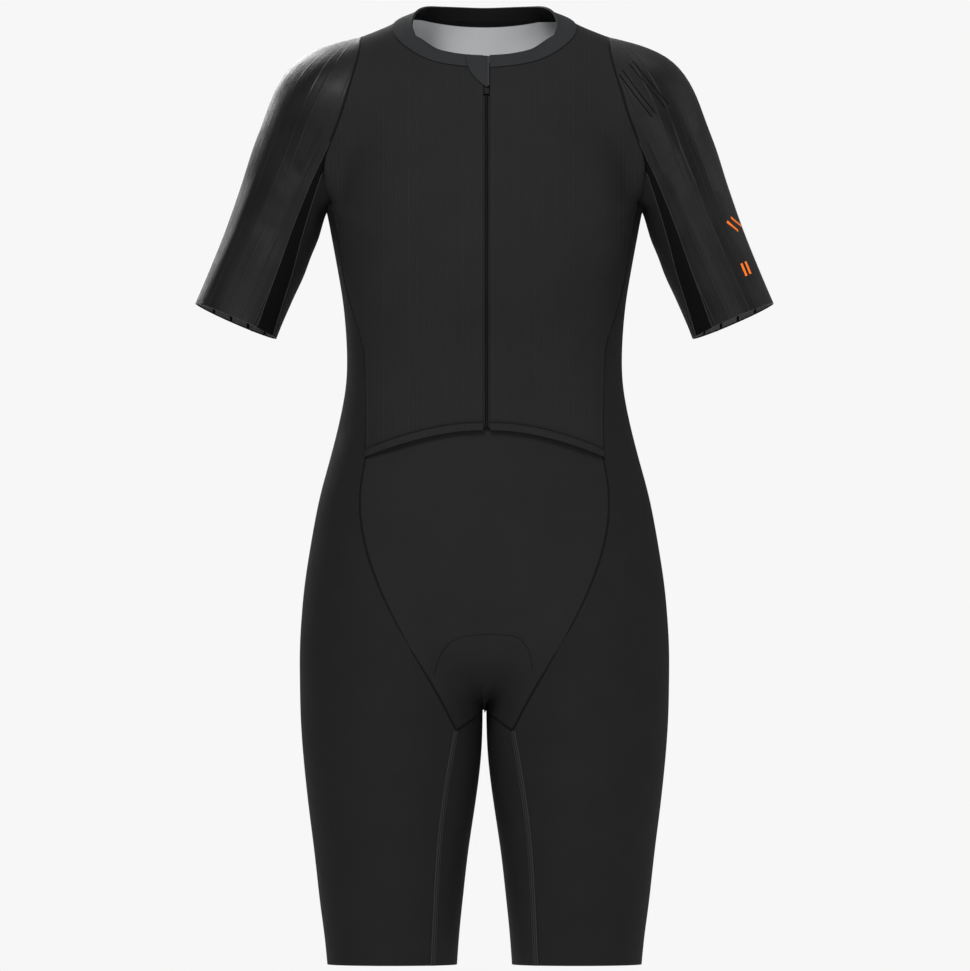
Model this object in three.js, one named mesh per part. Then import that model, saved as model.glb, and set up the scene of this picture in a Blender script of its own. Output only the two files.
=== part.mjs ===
// Short-sleeved triathlon suit, filled out as if worn, in millimetres.
// X runs to the wearer's left, the front faces -Y and Z is up.
// The origin lies midway between the shoulders, at the height of the side neck points.
import * as THREE from 'three';

// Cloth
const CLOTH = 1.6;
const SEAM_INSET = 0.22;
const LAYER_GAP = 0.35;
const BINDING_THICKNESS = 2.2;
const HEM_BAND_THICKNESS = 1.4;
const HEM_BAND_WIDTH = 8;
const RIDGE_HEIGHT = 1.3;
const RIDGES_PER_SLEEVE = 7;

// Heights, measured down from the origin
const JERSEY_HEM_CENTRE_Z = -391;
const JERSEY_HEM_SIDE_Z = -417;
const SHORT_TOP_CENTRE_Z = -364;
const BACK_WAIST_Z = -432;
const CROTCH_Z = -661;
const CROTCH_SEAM_Z = -682;
const LEG_HEM_Z = -911;
const BINDING_FRONT_Z = -38;

// Zip down the front
const ZIP_CENTRE_X = 2;
const ZIP_OPENING = 6;
const ZIP_TAPE_WIDTH = 16;
const ZIP_TAPE_THICKNESS = 1.2;
const LIFT = { from: -285, to: -350 };
const GARAGE = { left: -18, right: 3.2, top: -27, bottom: -58, thickness: 1.6, curve: 2.2 };
const SLIDER = { width: 5, height: 11, thickness: 2, top: -53 };

// Seat pad behind the front and seat panels
const PAD = { thickness: 5, rows: 3, columns: 5 };
const PAD_RELIEF = 0.8;

// Sleeve grippers inside the cuffs
const GRIP = { start: 1.5, width: 9, thickness: 1.2, blocks: 14, blockHeight: 1 };

// Half-width, front depth and back depth of the body part of the suit
const TORSO_ROUNDNESS = 2.25;
const TORSO = [
  { z: 12, half: 40, front: 16, back: 30 },
  { z: 0, half: 72, front: 36, back: 50 },
  { z: -20, half: 98, front: 54, back: 68 },
  { z: -60, half: 122, front: 80, back: 90 },
  { z: -100, half: 137, front: 100, back: 100 },
  { z: -150, half: 147, front: 117, back: 105 },
  { z: -185, half: 150.5, front: 126, back: 103 },
  { z: -224, half: 145, front: 129, back: 99 },
  { z: -263, half: 138, front: 121, back: 93 },
  { z: -302, half: 134.6, front: 107, back: 87 },
  { z: -341, half: 134, front: 97, back: 84 },
  { z: -380, half: 141, front: 97, back: 88 },
  { z: -419, half: 151, front: 101, back: 97 },
  { z: -458, half: 162, front: 105, back: 107 },
  { z: -497, half: 169, front: 107, back: 116 },
  { z: -536, half: 174, front: 107, back: 123 },
  { z: -575, half: 170, front: 104, back: 125 },
  { z: -610, half: 160, front: 96, back: 118 },
  { z: -635, half: 132, front: 78, back: 94 },
  { z: -652, half: 86, front: 50, back: 58 },
  { z: -659, half: 34, front: 20, back: 22 },
  { z: -661, half: 4, front: 2, back: 2 },
];

// Centre line, half-width and depths of each leg
const LEG_ROUNDNESS = 2.15;
const LEG = [
  { z: -500, centre: 88, half: 50, front: 60, back: 66 },
  { z: -560, centre: 88, half: 76, front: 90, back: 104 },
  { z: -595, centre: 89.5, half: 85, front: 97, back: 113 },
  { z: -620, centre: 90.5, half: 88.5, front: 98.5, back: 114 },
  { z: -640, centre: 91.5, half: 90, front: 99, back: 113 },
  { z: -673, centre: 91.3, half: 89.6, front: 96, back: 106 },
  { z: -692, centre: 90.8, half: 89, front: 94, back: 102 },
  { z: -712, centre: 90.4, half: 87.6, front: 92, back: 98 },
  { z: -751, centre: 91.2, half: 82.9, front: 87, back: 91 },
  { z: -809, centre: 91.7, half: 74.6, front: 80, back: 83 },
  { z: -848, centre: 91.7, half: 70.7, front: 76, back: 78 },
  { z: -870, centre: 91.2, half: 67.5, front: 73.5, back: 75.5 },
  { z: -907, centre: 90.5, half: 64, front: 70, back: 72 },
  { z: -940, centre: 91, half: 64, front: 69, back: 71 },
];

// Middle line and radius of each sleeve, from the shoulder ball to past the cuff
const SLEEVE_DEPTH_RATIO = 1.08;
const SLEEVE = [
  { x: 149, y: 8, z: -75.5, radius: 55 },
  { x: 177.5, y: 5, z: -127, radius: 49.5 },
  { x: 201.5, y: 1, z: -185, radius: 43.5 },
  { x: 216.5, y: -2, z: -224, radius: 43 },
  { x: 242.5, y: -6, z: -284, radius: 42.5 },
  { x: 262, y: -9, z: -329, radius: 42 },
];
const YOKE = [
  { x: 30, y: 6, z: -34, radius: 56 },
  { x: 144.5, y: 8, z: -74.5, radius: 54 },
];
const NECK = { half: 59, depth: 53, centreY: 4, lean: -0.1 };

// Blends where the parts of the body run into each other
const BLEND = { yoke: 34, neck: 38, armpit: 7, shoulder: 26, crotch: 7, hip: 34 };

// Neck opening by angle round the neck, from the front centre to the back centre
const NECKLINE = [
  { angle: 0, rim: -26, seam: -38 },
  { angle: 20, rim: -24.5, seam: -36 },
  { angle: 40, rim: -18, seam: -30 },
  { angle: 58, rim: -6, seam: -14 },
  { angle: 75, rim: 11, seam: 2 },
  { angle: 90, rim: 21, seam: 11 },
  { angle: 110, rim: 24, seam: 12 },
  { angle: 145, rim: 24, seam: 11 },
  { angle: 180, rim: 23, seam: 10 },
];

// Armhole seam as seen from the front, from the shoulder to the underarm
const ARMHOLE = [
  { x: 121, z: -11 },
  { x: 123.5, z: -30 },
  { x: 131, z: -52.5 },
  { x: 137, z: -75 },
  { x: 143.5, z: -94 },
  { x: 152, z: -115 },
  { x: 156.5, z: -134 },
  { x: 156, z: -153 },
  { x: 149.5, z: -171 },
];
const ARMPIT_DIP = 8;
const STRIP_TOP_Z = -109;
const STRIP_BOTTOM_Z = -137;

// Seam between front and side panel, down to the jersey hem
const SIDE_SEAM = [
  { x: 146.5, z: -178 },
  { x: 140, z: -224 },
  { x: 133, z: -263 },
  { x: 123, z: -290 },
  { x: 116.5, z: -315 },
  { x: 114.5, z: -341 },
  { x: 114.5, z: -380 },
  { x: 115, z: JERSEY_HEM_SIDE_Z },
];

// V-shaped seam from the jersey hem to the inner leg
const V_SEAM = [
  { x: 115, z: JERSEY_HEM_SIDE_Z },
  { x: 122, z: -440 },
  { x: 120.5, z: -485 },
  { x: 112, z: -518 },
  { x: 97, z: -556 },
  { x: 79, z: -590 },
  { x: 53, z: -634 },
  { x: 39, z: -658 },
  { x: 27.5, z: CROTCH_SEAM_Z },
];
const INNER_LEG_SEAM = [
  { x: 27.5, z: CROTCH_SEAM_Z },
  { x: 36.5, z: -734 },
  { x: 43.5, z: -787 },
  { x: 48, z: -865 },
  { x: 50, z: LEG_HEM_Z },
];

// Where the sleeve seams meet the cuff, in degrees from the outer edge round the front
const CUFF_SEAM = { strip: 119, under: 153, back: -112 };

// Where the shoulder seam leaves the neck, in degrees from the front, and where it ends
const SHOULDER_ANGLE = 96;
const SHOULDER_TOP = { x: 119, y: 12, z: -4 };

// Lines are sampled this finely before they are divided, and cast from this far away
const SAMPLES = 48;
const REACH = { body: 240, neck: 150, leg: 150, sleeve: 90 };
const RELAXING = { passes: 40, pull: 0.6 };

// Stitched-together edges are divided into this many steps
const STEPS = {
  shoulder: 3,
  neck: 9,
  armholeTop: 11,
  armholeStrip: 2,
  armholeLow: 2,
  armpit: 12,
  side: 9,
  v: 9,
  innerLeg: 7,
  crotch: 8,
  sleeve: 11,
  backNeck: 12,
};

const lerp = (a, b, t) => a + (b - a) * t;
const clamp = (t, low, high) => Math.min(high, Math.max(low, t));
const degrees = (angle) => (angle * Math.PI) / 180;

function smoothStep(from, to, value) {
  const t = clamp((value - from) / (to - from), 0, 1);
  return t * t * (3 - 2 * t);
}

function smoothMin(a, b, blend) {
  const h = Math.max(blend - Math.abs(a - b), 0) / blend;
  return Math.min(a, b) - (h * h * blend) / 4;
}

// Smooth curve through the rows of a table, read at one value of its key column
function column(table, key, name, at) {
  const last = table.length - 1;
  const rising = table[last][key] > table[0][key];
  let i = 0;
  while (i < last - 1 && (rising ? table[i + 1][key] < at : table[i + 1][key] > at)) i += 1;
  const a = table[i];
  const b = table[i + 1];
  const before = table[Math.max(i - 1, 0)];
  const after = table[Math.min(i + 2, last)];
  const span = b[key] - a[key];
  const t = clamp((at - a[key]) / span, 0, 1);
  const slopeA = ((b[name] - before[name]) / (b[key] - before[key])) * span;
  const slopeB = ((after[name] - a[name]) / (after[key] - a[key])) * span;
  const t2 = t * t;
  const t3 = t2 * t;
  return (
    (2 * t3 - 3 * t2 + 1) * a[name] +
    (t3 - 2 * t2 + t) * slopeA +
    (3 * t2 - 2 * t3) * b[name] +
    (t3 - t2) * slopeB
  );
}

// Rough distance to an oval whose sizes change with height
function ovalField(table, roundness, x, y, z) {
  const top = table[0].z;
  const bottom = table[table.length - 1].z;
  const half = column(table, 'z', 'half', z);
  const depth = column(table, 'z', y < 0 ? 'front' : 'back', z);
  const reach = Math.abs(x / half) ** roundness + Math.abs(y / depth) ** roundness;
  const beyond = Math.max(z - top, bottom - z, 0);
  return (reach ** (1 / roundness) - 1) * Math.min(half, depth) + beyond;
}

// Rough distance to a chain of round tapered tubes
function chainField(chain, x, y, z) {
  let nearest = Infinity;
  for (let i = 0; i + 1 < chain.length; i += 1) {
    const a = chain[i];
    const b = chain[i + 1];
    const axis = [b.x - a.x, b.y - a.y, b.z - a.z];
    const length2 = axis[0] ** 2 + axis[1] ** 2 + axis[2] ** 2;
    const along = ((x - a.x) * axis[0] + (y - a.y) * axis[1] + (z - a.z) * axis[2]) / length2;
    const t = clamp(along, 0, 1);
    const dx = x - lerp(a.x, b.x, t);
    const dy = (y - lerp(a.y, b.y, t)) / SLEEVE_DEPTH_RATIO;
    const dz = z - lerp(a.z, b.z, t);
    const distance = Math.hypot(dx, dy, dz) - lerp(a.radius, b.radius, t);
    nearest = nearest === Infinity ? distance : smoothMin(nearest, distance, 3);
  }
  return nearest;
}

function neckField(x, y, z) {
  const centreY = NECK.centreY + NECK.lean * z;
  return (Math.hypot(x / NECK.half, (y - centreY) / NECK.depth) - 1) * NECK.depth + Math.max(-60 - z, 0);
}

const oneLegField = (sign) => (x, y, z) => {
  const centre = column(LEG, 'z', 'centre', z);
  return ovalField(LEG, LEG_ROUNDNESS, sign * x - centre, y, z);
};
const rightLegField = oneLegField(-1);
const legField = (x, y, z) => rightLegField(-Math.abs(x), y, z);
const sleeveField = (x, y, z) => chainField(SLEEVE, Math.abs(x), y, z);

// Everything but the sleeves and legs
function trunkField(x, y, z) {
  const torso = ovalField(TORSO, TORSO_ROUNDNESS, x, y, z);
  const yoke = chainField(YOKE, Math.abs(x), y, z);
  return smoothMin(smoothMin(torso, yoke, BLEND.yoke), neckField(x, y, z), BLEND.neck);
}

// The outside of the whole suit is where this is zero
function suitField(x, y, z) {
  const armBlend = lerp(BLEND.armpit, BLEND.shoulder, smoothStep(-160, -100, z));
  const upper = smoothMin(trunkField(x, y, z), sleeveField(x, y, z), armBlend);
  if (z > -440) return upper;
  const hipBlend = lerp(BLEND.crotch, BLEND.hip, smoothStep(14, 75, Math.abs(x)));
  return smoothMin(upper, legField(x, y, z), hipBlend);
}

function normalOf(field, p) {
  const h = 0.4;
  return new THREE.Vector3(
    field(p.x + h, p.y, p.z) - field(p.x - h, p.y, p.z),
    field(p.x, p.y + h, p.z) - field(p.x, p.y - h, p.z),
    field(p.x, p.y, p.z + h) - field(p.x, p.y, p.z - h),
  ).divideScalar(2 * h);
}

// Moves a point straight on to the surface of a field
function settle(field, point) {
  const p = point.clone();
  for (let i = 0; i < 14; i += 1) {
    const slope = normalOf(field, p);
    const value = field(p.x, p.y, p.z);
    if (Math.abs(value) < 0.002) break;
    p.addScaledVector(slope, -value / Math.max(slope.lengthSq(), 0.05));
  }
  return p;
}

// First point of the surface met along a line from outside
function cast(field, start, direction, reach) {
  const step = 3;
  const at = (t) => start.clone().addScaledVector(direction, t);
  const value = (t) => {
    const p = at(t);
    return field(p.x, p.y, p.z);
  };
  let t = 0;
  while (t < reach && value(t) > 0) t += step;
  if (t >= reach) return null;
  let outside = t - step;
  let inside = t;
  for (let i = 0; i < 22; i += 1) {
    const middle = (outside + inside) / 2;
    if (value(middle) > 0) outside = middle;
    else inside = middle;
  }
  return at(inside);
}

// Point of the suit seen at x, z from the front (facing -1) or from the back (facing 1)
function seen(field, x, z, facing) {
  const start = new THREE.Vector3(x, facing * REACH.body, z);
  const hit = cast(field, start, new THREE.Vector3(0, -facing, 0), REACH.body);
  return hit || settle(field, new THREE.Vector3(x, facing * 6, z));
}

// The same number of even steps along a line of points
function evenly(points, steps) {
  const lengths = [0];
  for (let i = 1; i < points.length; i += 1) {
    lengths.push(lengths[i - 1] + points[i].distanceTo(points[i - 1]));
  }
  const total = lengths[lengths.length - 1];
  const result = [];
  let i = 0;
  for (let k = 0; k <= steps; k += 1) {
    const at = (total * k) / steps;
    while (i < points.length - 2 && lengths[i + 1] < at) i += 1;
    const t = (at - lengths[i]) / Math.max(lengths[i + 1] - lengths[i], 1e-6);
    result.push(points[i].clone().lerp(points[i + 1], clamp(t, 0, 1)));
  }
  return result;
}

// A seam drawn on the front or back by a table of x and z, on one side of the body
function drawnSeam(table, side, facing, steps, field = suitField) {
  const fine = [];
  const rows = table.map((row, index) => ({ ...row, index }));
  for (let k = 0; k <= SAMPLES; k += 1) {
    const at = (k / SAMPLES) * (rows.length - 1);
    const x = column(rows, 'index', 'x', at);
    const z = column(rows, 'index', 'z', at);
    fine.push(seen(field, side * x, z, facing));
  }
  return evenly(fine, steps).map((p) => settle(field, p));
}

// Part of a seam table between two heights, read from its smooth curve
function between(table, fromZ, toZ, rows = 6) {
  const result = [];
  for (let k = 0; k <= rows; k += 1) {
    const z = lerp(fromZ, toZ, k / rows);
    result.push({ x: column(table, 'z', 'x', z), z });
  }
  return result;
}

// Points round the neck at the height that the table gives for the rim or the seam
function neckPoint(angle, name) {
  const z = column(NECKLINE, 'angle', name, Math.min(Math.abs(angle), 180));
  const turn = degrees(angle);
  const direction = new THREE.Vector3(Math.sin(turn), -Math.cos(turn), 0);
  const start = new THREE.Vector3(0, NECK.centreY, z).addScaledVector(direction, REACH.neck);
  return cast(trunkField, start, direction.clone().negate(), REACH.neck);
}

// Blends four edges into a grid of rows from the top edge to the bottom edge
function coons(top, bottom, left, right) {
  const columns = top.length - 1;
  const rowCount = left.length - 1;
  const grid = [];
  for (let j = 0; j <= rowCount; j += 1) {
    const v = j / rowCount;
    const row = [];
    for (let i = 0; i <= columns; i += 1) {
      const u = i / columns;
      const p = new THREE.Vector3();
      p.addScaledVector(top[i], 1 - v).addScaledVector(bottom[i], v);
      p.addScaledVector(left[j], 1 - u).addScaledVector(right[j], u);
      p.addScaledVector(top[0], -(1 - u) * (1 - v)).addScaledVector(top[columns], -u * (1 - v));
      p.addScaledVector(bottom[0], -(1 - u) * v).addScaledVector(bottom[columns], -u * v);
      row.push(p);
    }
    grid.push(row);
  }
  return grid;
}

// Evens out the inside of a grid and settles it on the surface, as far as grip says
function relax(grid, field, grip = () => 1) {
  const rowCount = grid.length - 1;
  const columns = grid[0].length - 1;
  let current = grid;
  for (let pass = 0; pass <= RELAXING.passes; pass += 1) {
    const next = current.map((row) => row.slice());
    for (let j = 1; j < rowCount; j += 1) {
      for (let i = 1; i < columns; i += 1) {
        const p = current[j][i].clone();
        if (pass > 0) {
          const around = new THREE.Vector3();
          around.add(current[j - 1][i]).add(current[j + 1][i]);
          around.add(current[j][i - 1]).add(current[j][i + 1]);
          p.lerp(around.multiplyScalar(0.25), RELAXING.pull);
        }
        const hold = grip(p);
        next[j][i] = hold > 0 ? p.lerp(settle(field, p), hold) : p;
      }
    }
    current = next;
  }
  return current;
}

// A grid with the outward direction of the surface at each of its points
function panelGrid(top, bottom, left, right, field = suitField) {
  const points = relax(coons(top, bottom, left, right), field);
  const normals = points.map((row) => row.map((p) => normalOf(field, p).normalize()));
  return { points, normals };
}

// Edge points move in along the surface, so that neighbours keep a seam's width
function insetEdges({ points, normals }, inset) {
  const rowCount = points.length - 1;
  const columns = points[0].length - 1;
  const result = points.map((row) => row.map((p) => p.clone()));
  const shift = (j, i, nj, ni, tangent) => {
    const inward = points[nj][ni].clone().sub(points[j][i]);
    const out = normals[j][i];
    const along = tangent.clone().addScaledVector(out, -tangent.dot(out)).normalize();
    inward.addScaledVector(out, -inward.dot(out));
    inward.addScaledVector(along, -inward.dot(along)).normalize();
    result[j][i].addScaledVector(inward, inset);
  };
  const tangentAlong = (a, b) => b.clone().sub(a).normalize();
  for (let j = 0; j <= rowCount; j += 1) {
    const before = Math.max(j - 1, 0);
    const after = Math.min(j + 1, rowCount);
    shift(j, 0, j, 1, tangentAlong(points[before][0], points[after][0]));
    shift(j, columns, j, columns - 1, tangentAlong(points[before][columns], points[after][columns]));
  }
  for (let i = 0; i <= columns; i += 1) {
    const before = Math.max(i - 1, 0);
    const after = Math.min(i + 1, columns);
    shift(0, i, 1, i, tangentAlong(points[0][before], points[0][after]));
    shift(rowCount, i, rowCount - 1, i, tangentAlong(points[rowCount][before], points[rowCount][after]));
  }
  return result;
}

// A closed wall: the grid moved out by outer(j, i) and in by inner(j, i)
function wall(grid, outer, inner, { closed = false, inset = SEAM_INSET } = {}) {
  const base = inset > 0 ? insetEdges(grid, inset) : grid.points;
  const rowCount = base.length;
  const columns = base[0].length;
  const positions = [];
  const skin = (offset) => {
    for (let j = 0; j < rowCount; j += 1) {
      for (let i = 0; i < columns; i += 1) {
        const p = base[j][i].clone().addScaledVector(grid.normals[j][i], offset(j, i));
        positions.push(p.x, p.y, p.z);
      }
    }
  };
  skin(outer);
  skin(inner);
  const half = rowCount * columns;
  const around = closed ? columns : columns - 1;
  const index = (j, i) => j * columns + (i % columns);
  const faces = [];
  const quad = (a, b, c, d) => faces.push(a, b, c, a, c, d);
  for (let j = 0; j + 1 < rowCount; j += 1) {
    for (let i = 0; i < around; i += 1) {
      const a = index(j, i);
      const b = index(j + 1, i);
      const c = index(j + 1, i + 1);
      const d = index(j, i + 1);
      quad(a, b, c, d);
      quad(half + a, half + d, half + c, half + b);
    }
  }
  for (let i = 0; i < around; i += 1) {
    const a = index(0, i);
    const b = index(0, i + 1);
    quad(b, half + b, half + a, a);
    const c = index(rowCount - 1, i);
    const d = index(rowCount - 1, i + 1);
    quad(c, half + c, half + d, d);
  }
  if (!closed) {
    for (let j = 0; j + 1 < rowCount; j += 1) {
      const a = index(j, 0);
      const b = index(j + 1, 0);
      quad(a, half + a, half + b, b);
      const c = index(j, columns - 1);
      const d = index(j + 1, columns - 1);
      quad(d, half + d, half + c, c);
    }
  }
  return closedGeometry(positions, faces);
}

// Faces are turned over if the solid they close is inside out
function closedGeometry(positions, faces) {
  let volume = 0;
  const corner = (n) => new THREE.Vector3().fromArray(positions, faces[n] * 3);
  for (let n = 0; n < faces.length; n += 3) {
    volume += corner(n).dot(corner(n + 1).cross(corner(n + 2)));
  }
  if (volume < 0) faces.reverse();
  const geometry = new THREE.BufferGeometry();
  geometry.setAttribute('position', new THREE.Float32BufferAttribute(positions, 3));
  geometry.setIndex(faces);
  geometry.computeVertexNormals();
  return geometry;
}

const SIDES = [
  { name: 'right', sign: -1 },
  { name: 'left', sign: 1 },
];
const reversed = (points) => points.slice().reverse();
const joined = (...parts) => parts.flatMap((part, k) => (k === 0 ? part : part.slice(1)));

// Zip edges of the two fronts
const zipEdgeX = (sign) => ZIP_CENTRE_X + (sign * ZIP_OPENING) / 2;

// All the seams on one side of the suit
function seamsOf(sign) {
  const seams = {};
  const shoulderTop = settle(
    suitField,
    new THREE.Vector3(sign * SHOULDER_TOP.x, SHOULDER_TOP.y, SHOULDER_TOP.z),
  );
  const neckSide = neckPoint(sign * SHOULDER_ANGLE, 'seam');
  const shoulder = [];
  for (let k = 0; k <= STEPS.shoulder; k += 1) {
    shoulder.push(neckSide.clone().lerp(shoulderTop, k / STEPS.shoulder));
  }
  seams.shoulder = shoulder.map((p, k) => (k === 0 || k === STEPS.shoulder ? p : settle(suitField, p)));

  for (const [name, facing] of [['front', -1], ['back', 1]]) {
    const upper = drawnSeam(between(ARMHOLE, ARMHOLE[0].z, STRIP_TOP_Z), sign, facing, SAMPLES);
    const armholeTop = evenly([shoulderTop, ...upper], STEPS.armholeTop);
    const strip = drawnSeam(between(ARMHOLE, STRIP_TOP_Z, STRIP_BOTTOM_Z), sign, facing, STEPS.armholeStrip);
    const low = drawnSeam(
      between(ARMHOLE, STRIP_BOTTOM_Z, ARMHOLE[ARMHOLE.length - 1].z),
      sign,
      facing,
      STEPS.armholeLow,
    );
    seams[`${name}ArmholeTop`] = armholeTop.map((p, k) => (k === 0 ? p : settle(suitField, p)));
    seams[`${name}ArmholeStrip`] = strip;
    seams[`${name}ArmholeLow`] = low;
    seams[`${name}V`] = drawnSeam(V_SEAM, sign, facing, STEPS.v);
    seams[`${name}InnerLeg`] = drawnSeam(INNER_LEG_SEAM, sign, facing, STEPS.innerLeg);
    const underarm = low[low.length - 1];
    const side = drawnSeam(SIDE_SEAM, sign, facing, SAMPLES);
    seams[`${name}Side`] = evenly([underarm, ...side], STEPS.side).map((p, k) =>
      k === 0 ? p : settle(suitField, p),
    );
  }
  const front = seams.frontArmholeLow[STEPS.armholeLow];
  const back = seams.backArmholeLow[STEPS.armholeLow];
  const armpit = [];
  for (let k = 0; k <= SAMPLES; k += 1) {
    const p = front.clone().lerp(back, k / SAMPLES);
    p.z -= ARMPIT_DIP * Math.sin((Math.PI * k) / SAMPLES);
    armpit.push(k === 0 || k === SAMPLES ? p : settle(suitField, p));
  }
  seams.armpit = evenly(armpit, STEPS.armpit);
  return seams;
}

const cloth = (color, roughness) => new THREE.MeshStandardMaterial({ color, roughness, metalness: 0 });
const MATERIALS = {
  jersey: cloth(0x282828, 0.8),
  side: cloth(0x222222, 0.75),
  short: cloth(0x272727, 0.7),
  sleeve: cloth(0x202020, 0.5),
  mesh: cloth(0x0e0e0e, 0.9),
  binding: cloth(0x303234, 0.7),
  grip: cloth(0x6e7072, 0.5),
  pad: cloth(0x1c1c1c, 0.95),
  zip: cloth(0x141414, 0.6),
  slider: cloth(0x0a0a0a, 0.35),
};

const suit = new THREE.Group();
suit.name = 'triathlon_suit';

function add(name, geometry, material) {
  const mesh = new THREE.Mesh(geometry, material);
  mesh.name = name;
  suit.add(mesh);
}

const outside = () => 0;
const inside = () => -CLOTH;

const seamSets = SIDES.map(({ sign }) => seamsOf(sign));

// Neckline of one front, from its shoulder seam to its zip edge
function frontNeckline(sign) {
  const fine = [];
  for (let k = 0; k <= SAMPLES; k += 1) {
    fine.push(neckPoint(sign * lerp(SHOULDER_ANGLE, 0, k / SAMPLES), 'seam'));
  }
  const edge = seen(suitField, zipEdgeX(sign), BINDING_FRONT_Z, -1);
  const kept = fine.filter((p) => sign * (p.x - edge.x) > 3);
  const line = evenly([...kept, edge], STEPS.neck);
  return line.map((p, k) => (k === 0 || k === STEPS.neck ? p : settle(suitField, p)));
}

// A line across the body, whose height eases from one end to the other
function arcAcross(from, toX, toZ, steps, facing = -1) {
  const fine = [];
  for (let k = 0; k <= SAMPLES; k += 1) {
    const t = k / SAMPLES;
    const z = lerp(from.z, toZ, Math.sin((t * Math.PI) / 2));
    fine.push(seen(suitField, lerp(from.x, toX, t), z, facing));
  }
  fine[0] = from;
  return evenly(fine, steps).map((p, k) => (k === 0 ? p : settle(suitField, p)));
}

// A line down the body at one x
function lineDown(x, fromZ, toZ, steps) {
  const fine = [];
  for (let k = 0; k <= SAMPLES; k += 1) {
    fine.push(seen(suitField, x, lerp(fromZ, toZ, k / SAMPLES), -1));
  }
  return evenly(fine, steps);
}

const necklines = SIDES.map(({ sign }) => frontNeckline(sign));

// Jersey fronts, lifted at the hem where they lie over the zip tape and the short front
const HEM_LIFT = CLOTH + ZIP_TAPE_THICKNESS + 5 * LAYER_GAP;
const frontRows = STEPS.armholeTop + STEPS.armholeStrip + STEPS.armholeLow + STEPS.side;
const SEAM_LIFT = CLOTH + 2 * LAYER_GAP;
const liftAcross = (i) => lerp(SEAM_LIFT, HEM_LIFT, smoothStep(0, 4, i));
const liftedAt = (z) => smoothStep(LIFT.from, LIFT.to, z);
const frontGrids = SIDES.map(({ name, sign }, s) => {
  const seams = seamSets[s];
  const top = joined(reversed(seams.shoulder), necklines[s]);
  const outer = joined(
    seams.frontArmholeTop,
    seams.frontArmholeStrip,
    seams.frontArmholeLow,
    seams.frontSide,
  );
  const edge = lineDown(zipEdgeX(sign), BINDING_FRONT_Z, JERSEY_HEM_CENTRE_Z, frontRows);
  edge[0] = top[top.length - 1];
  const hem = arcAcross(outer[frontRows], zipEdgeX(sign), JERSEY_HEM_CENTRE_Z, top.length - 1);
  hem[hem.length - 1] = edge[frontRows];
  const grid = panelGrid(top, hem, outer, edge);
  const lift = (j, i) => liftAcross(i) * liftedAt(grid.points[j][i].z);
  add(`front_${name}`, wall(grid, lift, (j, i) => lift(j, i) - CLOTH), MATERIALS.jersey);
  return grid;
});

// Bands along the jersey hem, made from the lowest strip of each front
SIDES.forEach(({ name }, s) => {
  const { points, normals } = frontGrids[s];
  const hem = points[frontRows];
  const above = points[frontRows - 1];
  const upper = hem.map((p, i) => p.clone().lerp(above[i], HEM_BAND_WIDTH / p.distanceTo(above[i])));
  const band = { points: [upper, hem], normals: [normals[frontRows], normals[frontRows]] };
  const under = (j, i) => liftAcross(i) + LAYER_GAP;
  const bandWall = wall(band, (j, i) => under(j, i) + HEM_BAND_THICKNESS, under);
  add(`front_hem_${name}`, bandWall, MATERIALS.jersey);
});

// Back, in one piece from the neckline to the waist seam
const [rightSeams, leftSeams] = seamSets;
const backNeck = [];
for (let k = 0; k <= STEPS.backNeck; k += 1) {
  backNeck.push(neckPoint(lerp(-SHOULDER_ANGLE, SHOULDER_ANGLE - 360, k / STEPS.backNeck), 'seam'));
}
backNeck[0] = rightSeams.shoulder[0];
backNeck[STEPS.backNeck] = leftSeams.shoulder[0];
const backEdge = (seams) =>
  joined(seams.backArmholeTop, seams.backArmholeStrip, seams.backArmholeLow, seams.backSide);
const halfWaist = STEPS.shoulder + STEPS.backNeck / 2;
const waistHalves = seamSets.map((seams) =>
  arcAcross(seams.backSide[STEPS.side], 0, BACK_WAIST_Z, halfWaist, 1),
);
waistHalves[1][halfWaist] = waistHalves[0][halfWaist];
const waistSeam = joined(waistHalves[0], reversed(waistHalves[1]));
const backTop = joined(reversed(rightSeams.shoulder), backNeck, leftSeams.shoulder);
const backGrid = panelGrid(backTop, waistSeam, backEdge(rightSeams), backEdge(leftSeams));
add('back', wall(backGrid, outside, inside), MATERIALS.jersey);

// Angle round a leg, seen from above, from the inner side (0) to the front (90)
function legPoint(sign, angle, z) {
  const turn = degrees(angle);
  const centre = column(LEG, 'z', 'centre', z);
  const direction = new THREE.Vector3(-sign * Math.cos(turn), -Math.sin(turn), 0);
  const start = new THREE.Vector3(sign * centre, 0, z).addScaledVector(direction, REACH.leg);
  return cast(oneLegField(sign), start, direction.negate(), REACH.leg);
}
function legAngle(sign, p) {
  const centre = column(LEG, 'z', 'centre', p.z);
  return (Math.atan2(-p.y, centre - sign * p.x) * 180) / Math.PI;
}

// Edge of the inner leg panel, from the front or back seam up to the crotch
function crotchEdge(sign, corner) {
  const from = legAngle(sign, corner);
  const fine = [];
  for (let k = 0; k <= SAMPLES; k += 1) {
    const t = k / SAMPLES;
    const z = lerp(CROTCH_SEAM_Z, CROTCH_Z, Math.sin((t * Math.PI) / 2));
    fine.push(legPoint(sign, from * (1 - t), z));
  }
  fine[0] = corner;
  return evenly(fine, STEPS.crotch);
}

// Hem of a leg between two angles
function legHem(sign, fromAngle, toAngle, steps) {
  const fine = [];
  for (let k = 0; k <= SAMPLES; k += 1) {
    fine.push(legPoint(sign, lerp(fromAngle, toAngle, k / SAMPLES), LEG_HEM_Z));
  }
  return evenly(fine, steps);
}

const crotchEdges = SIDES.map(({ sign }, s) => {
  const { frontV, backV } = seamSets[s];
  return { front: crotchEdge(sign, frontV[STEPS.v]), back: crotchEdge(sign, backV[STEPS.v]) };
});

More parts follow.
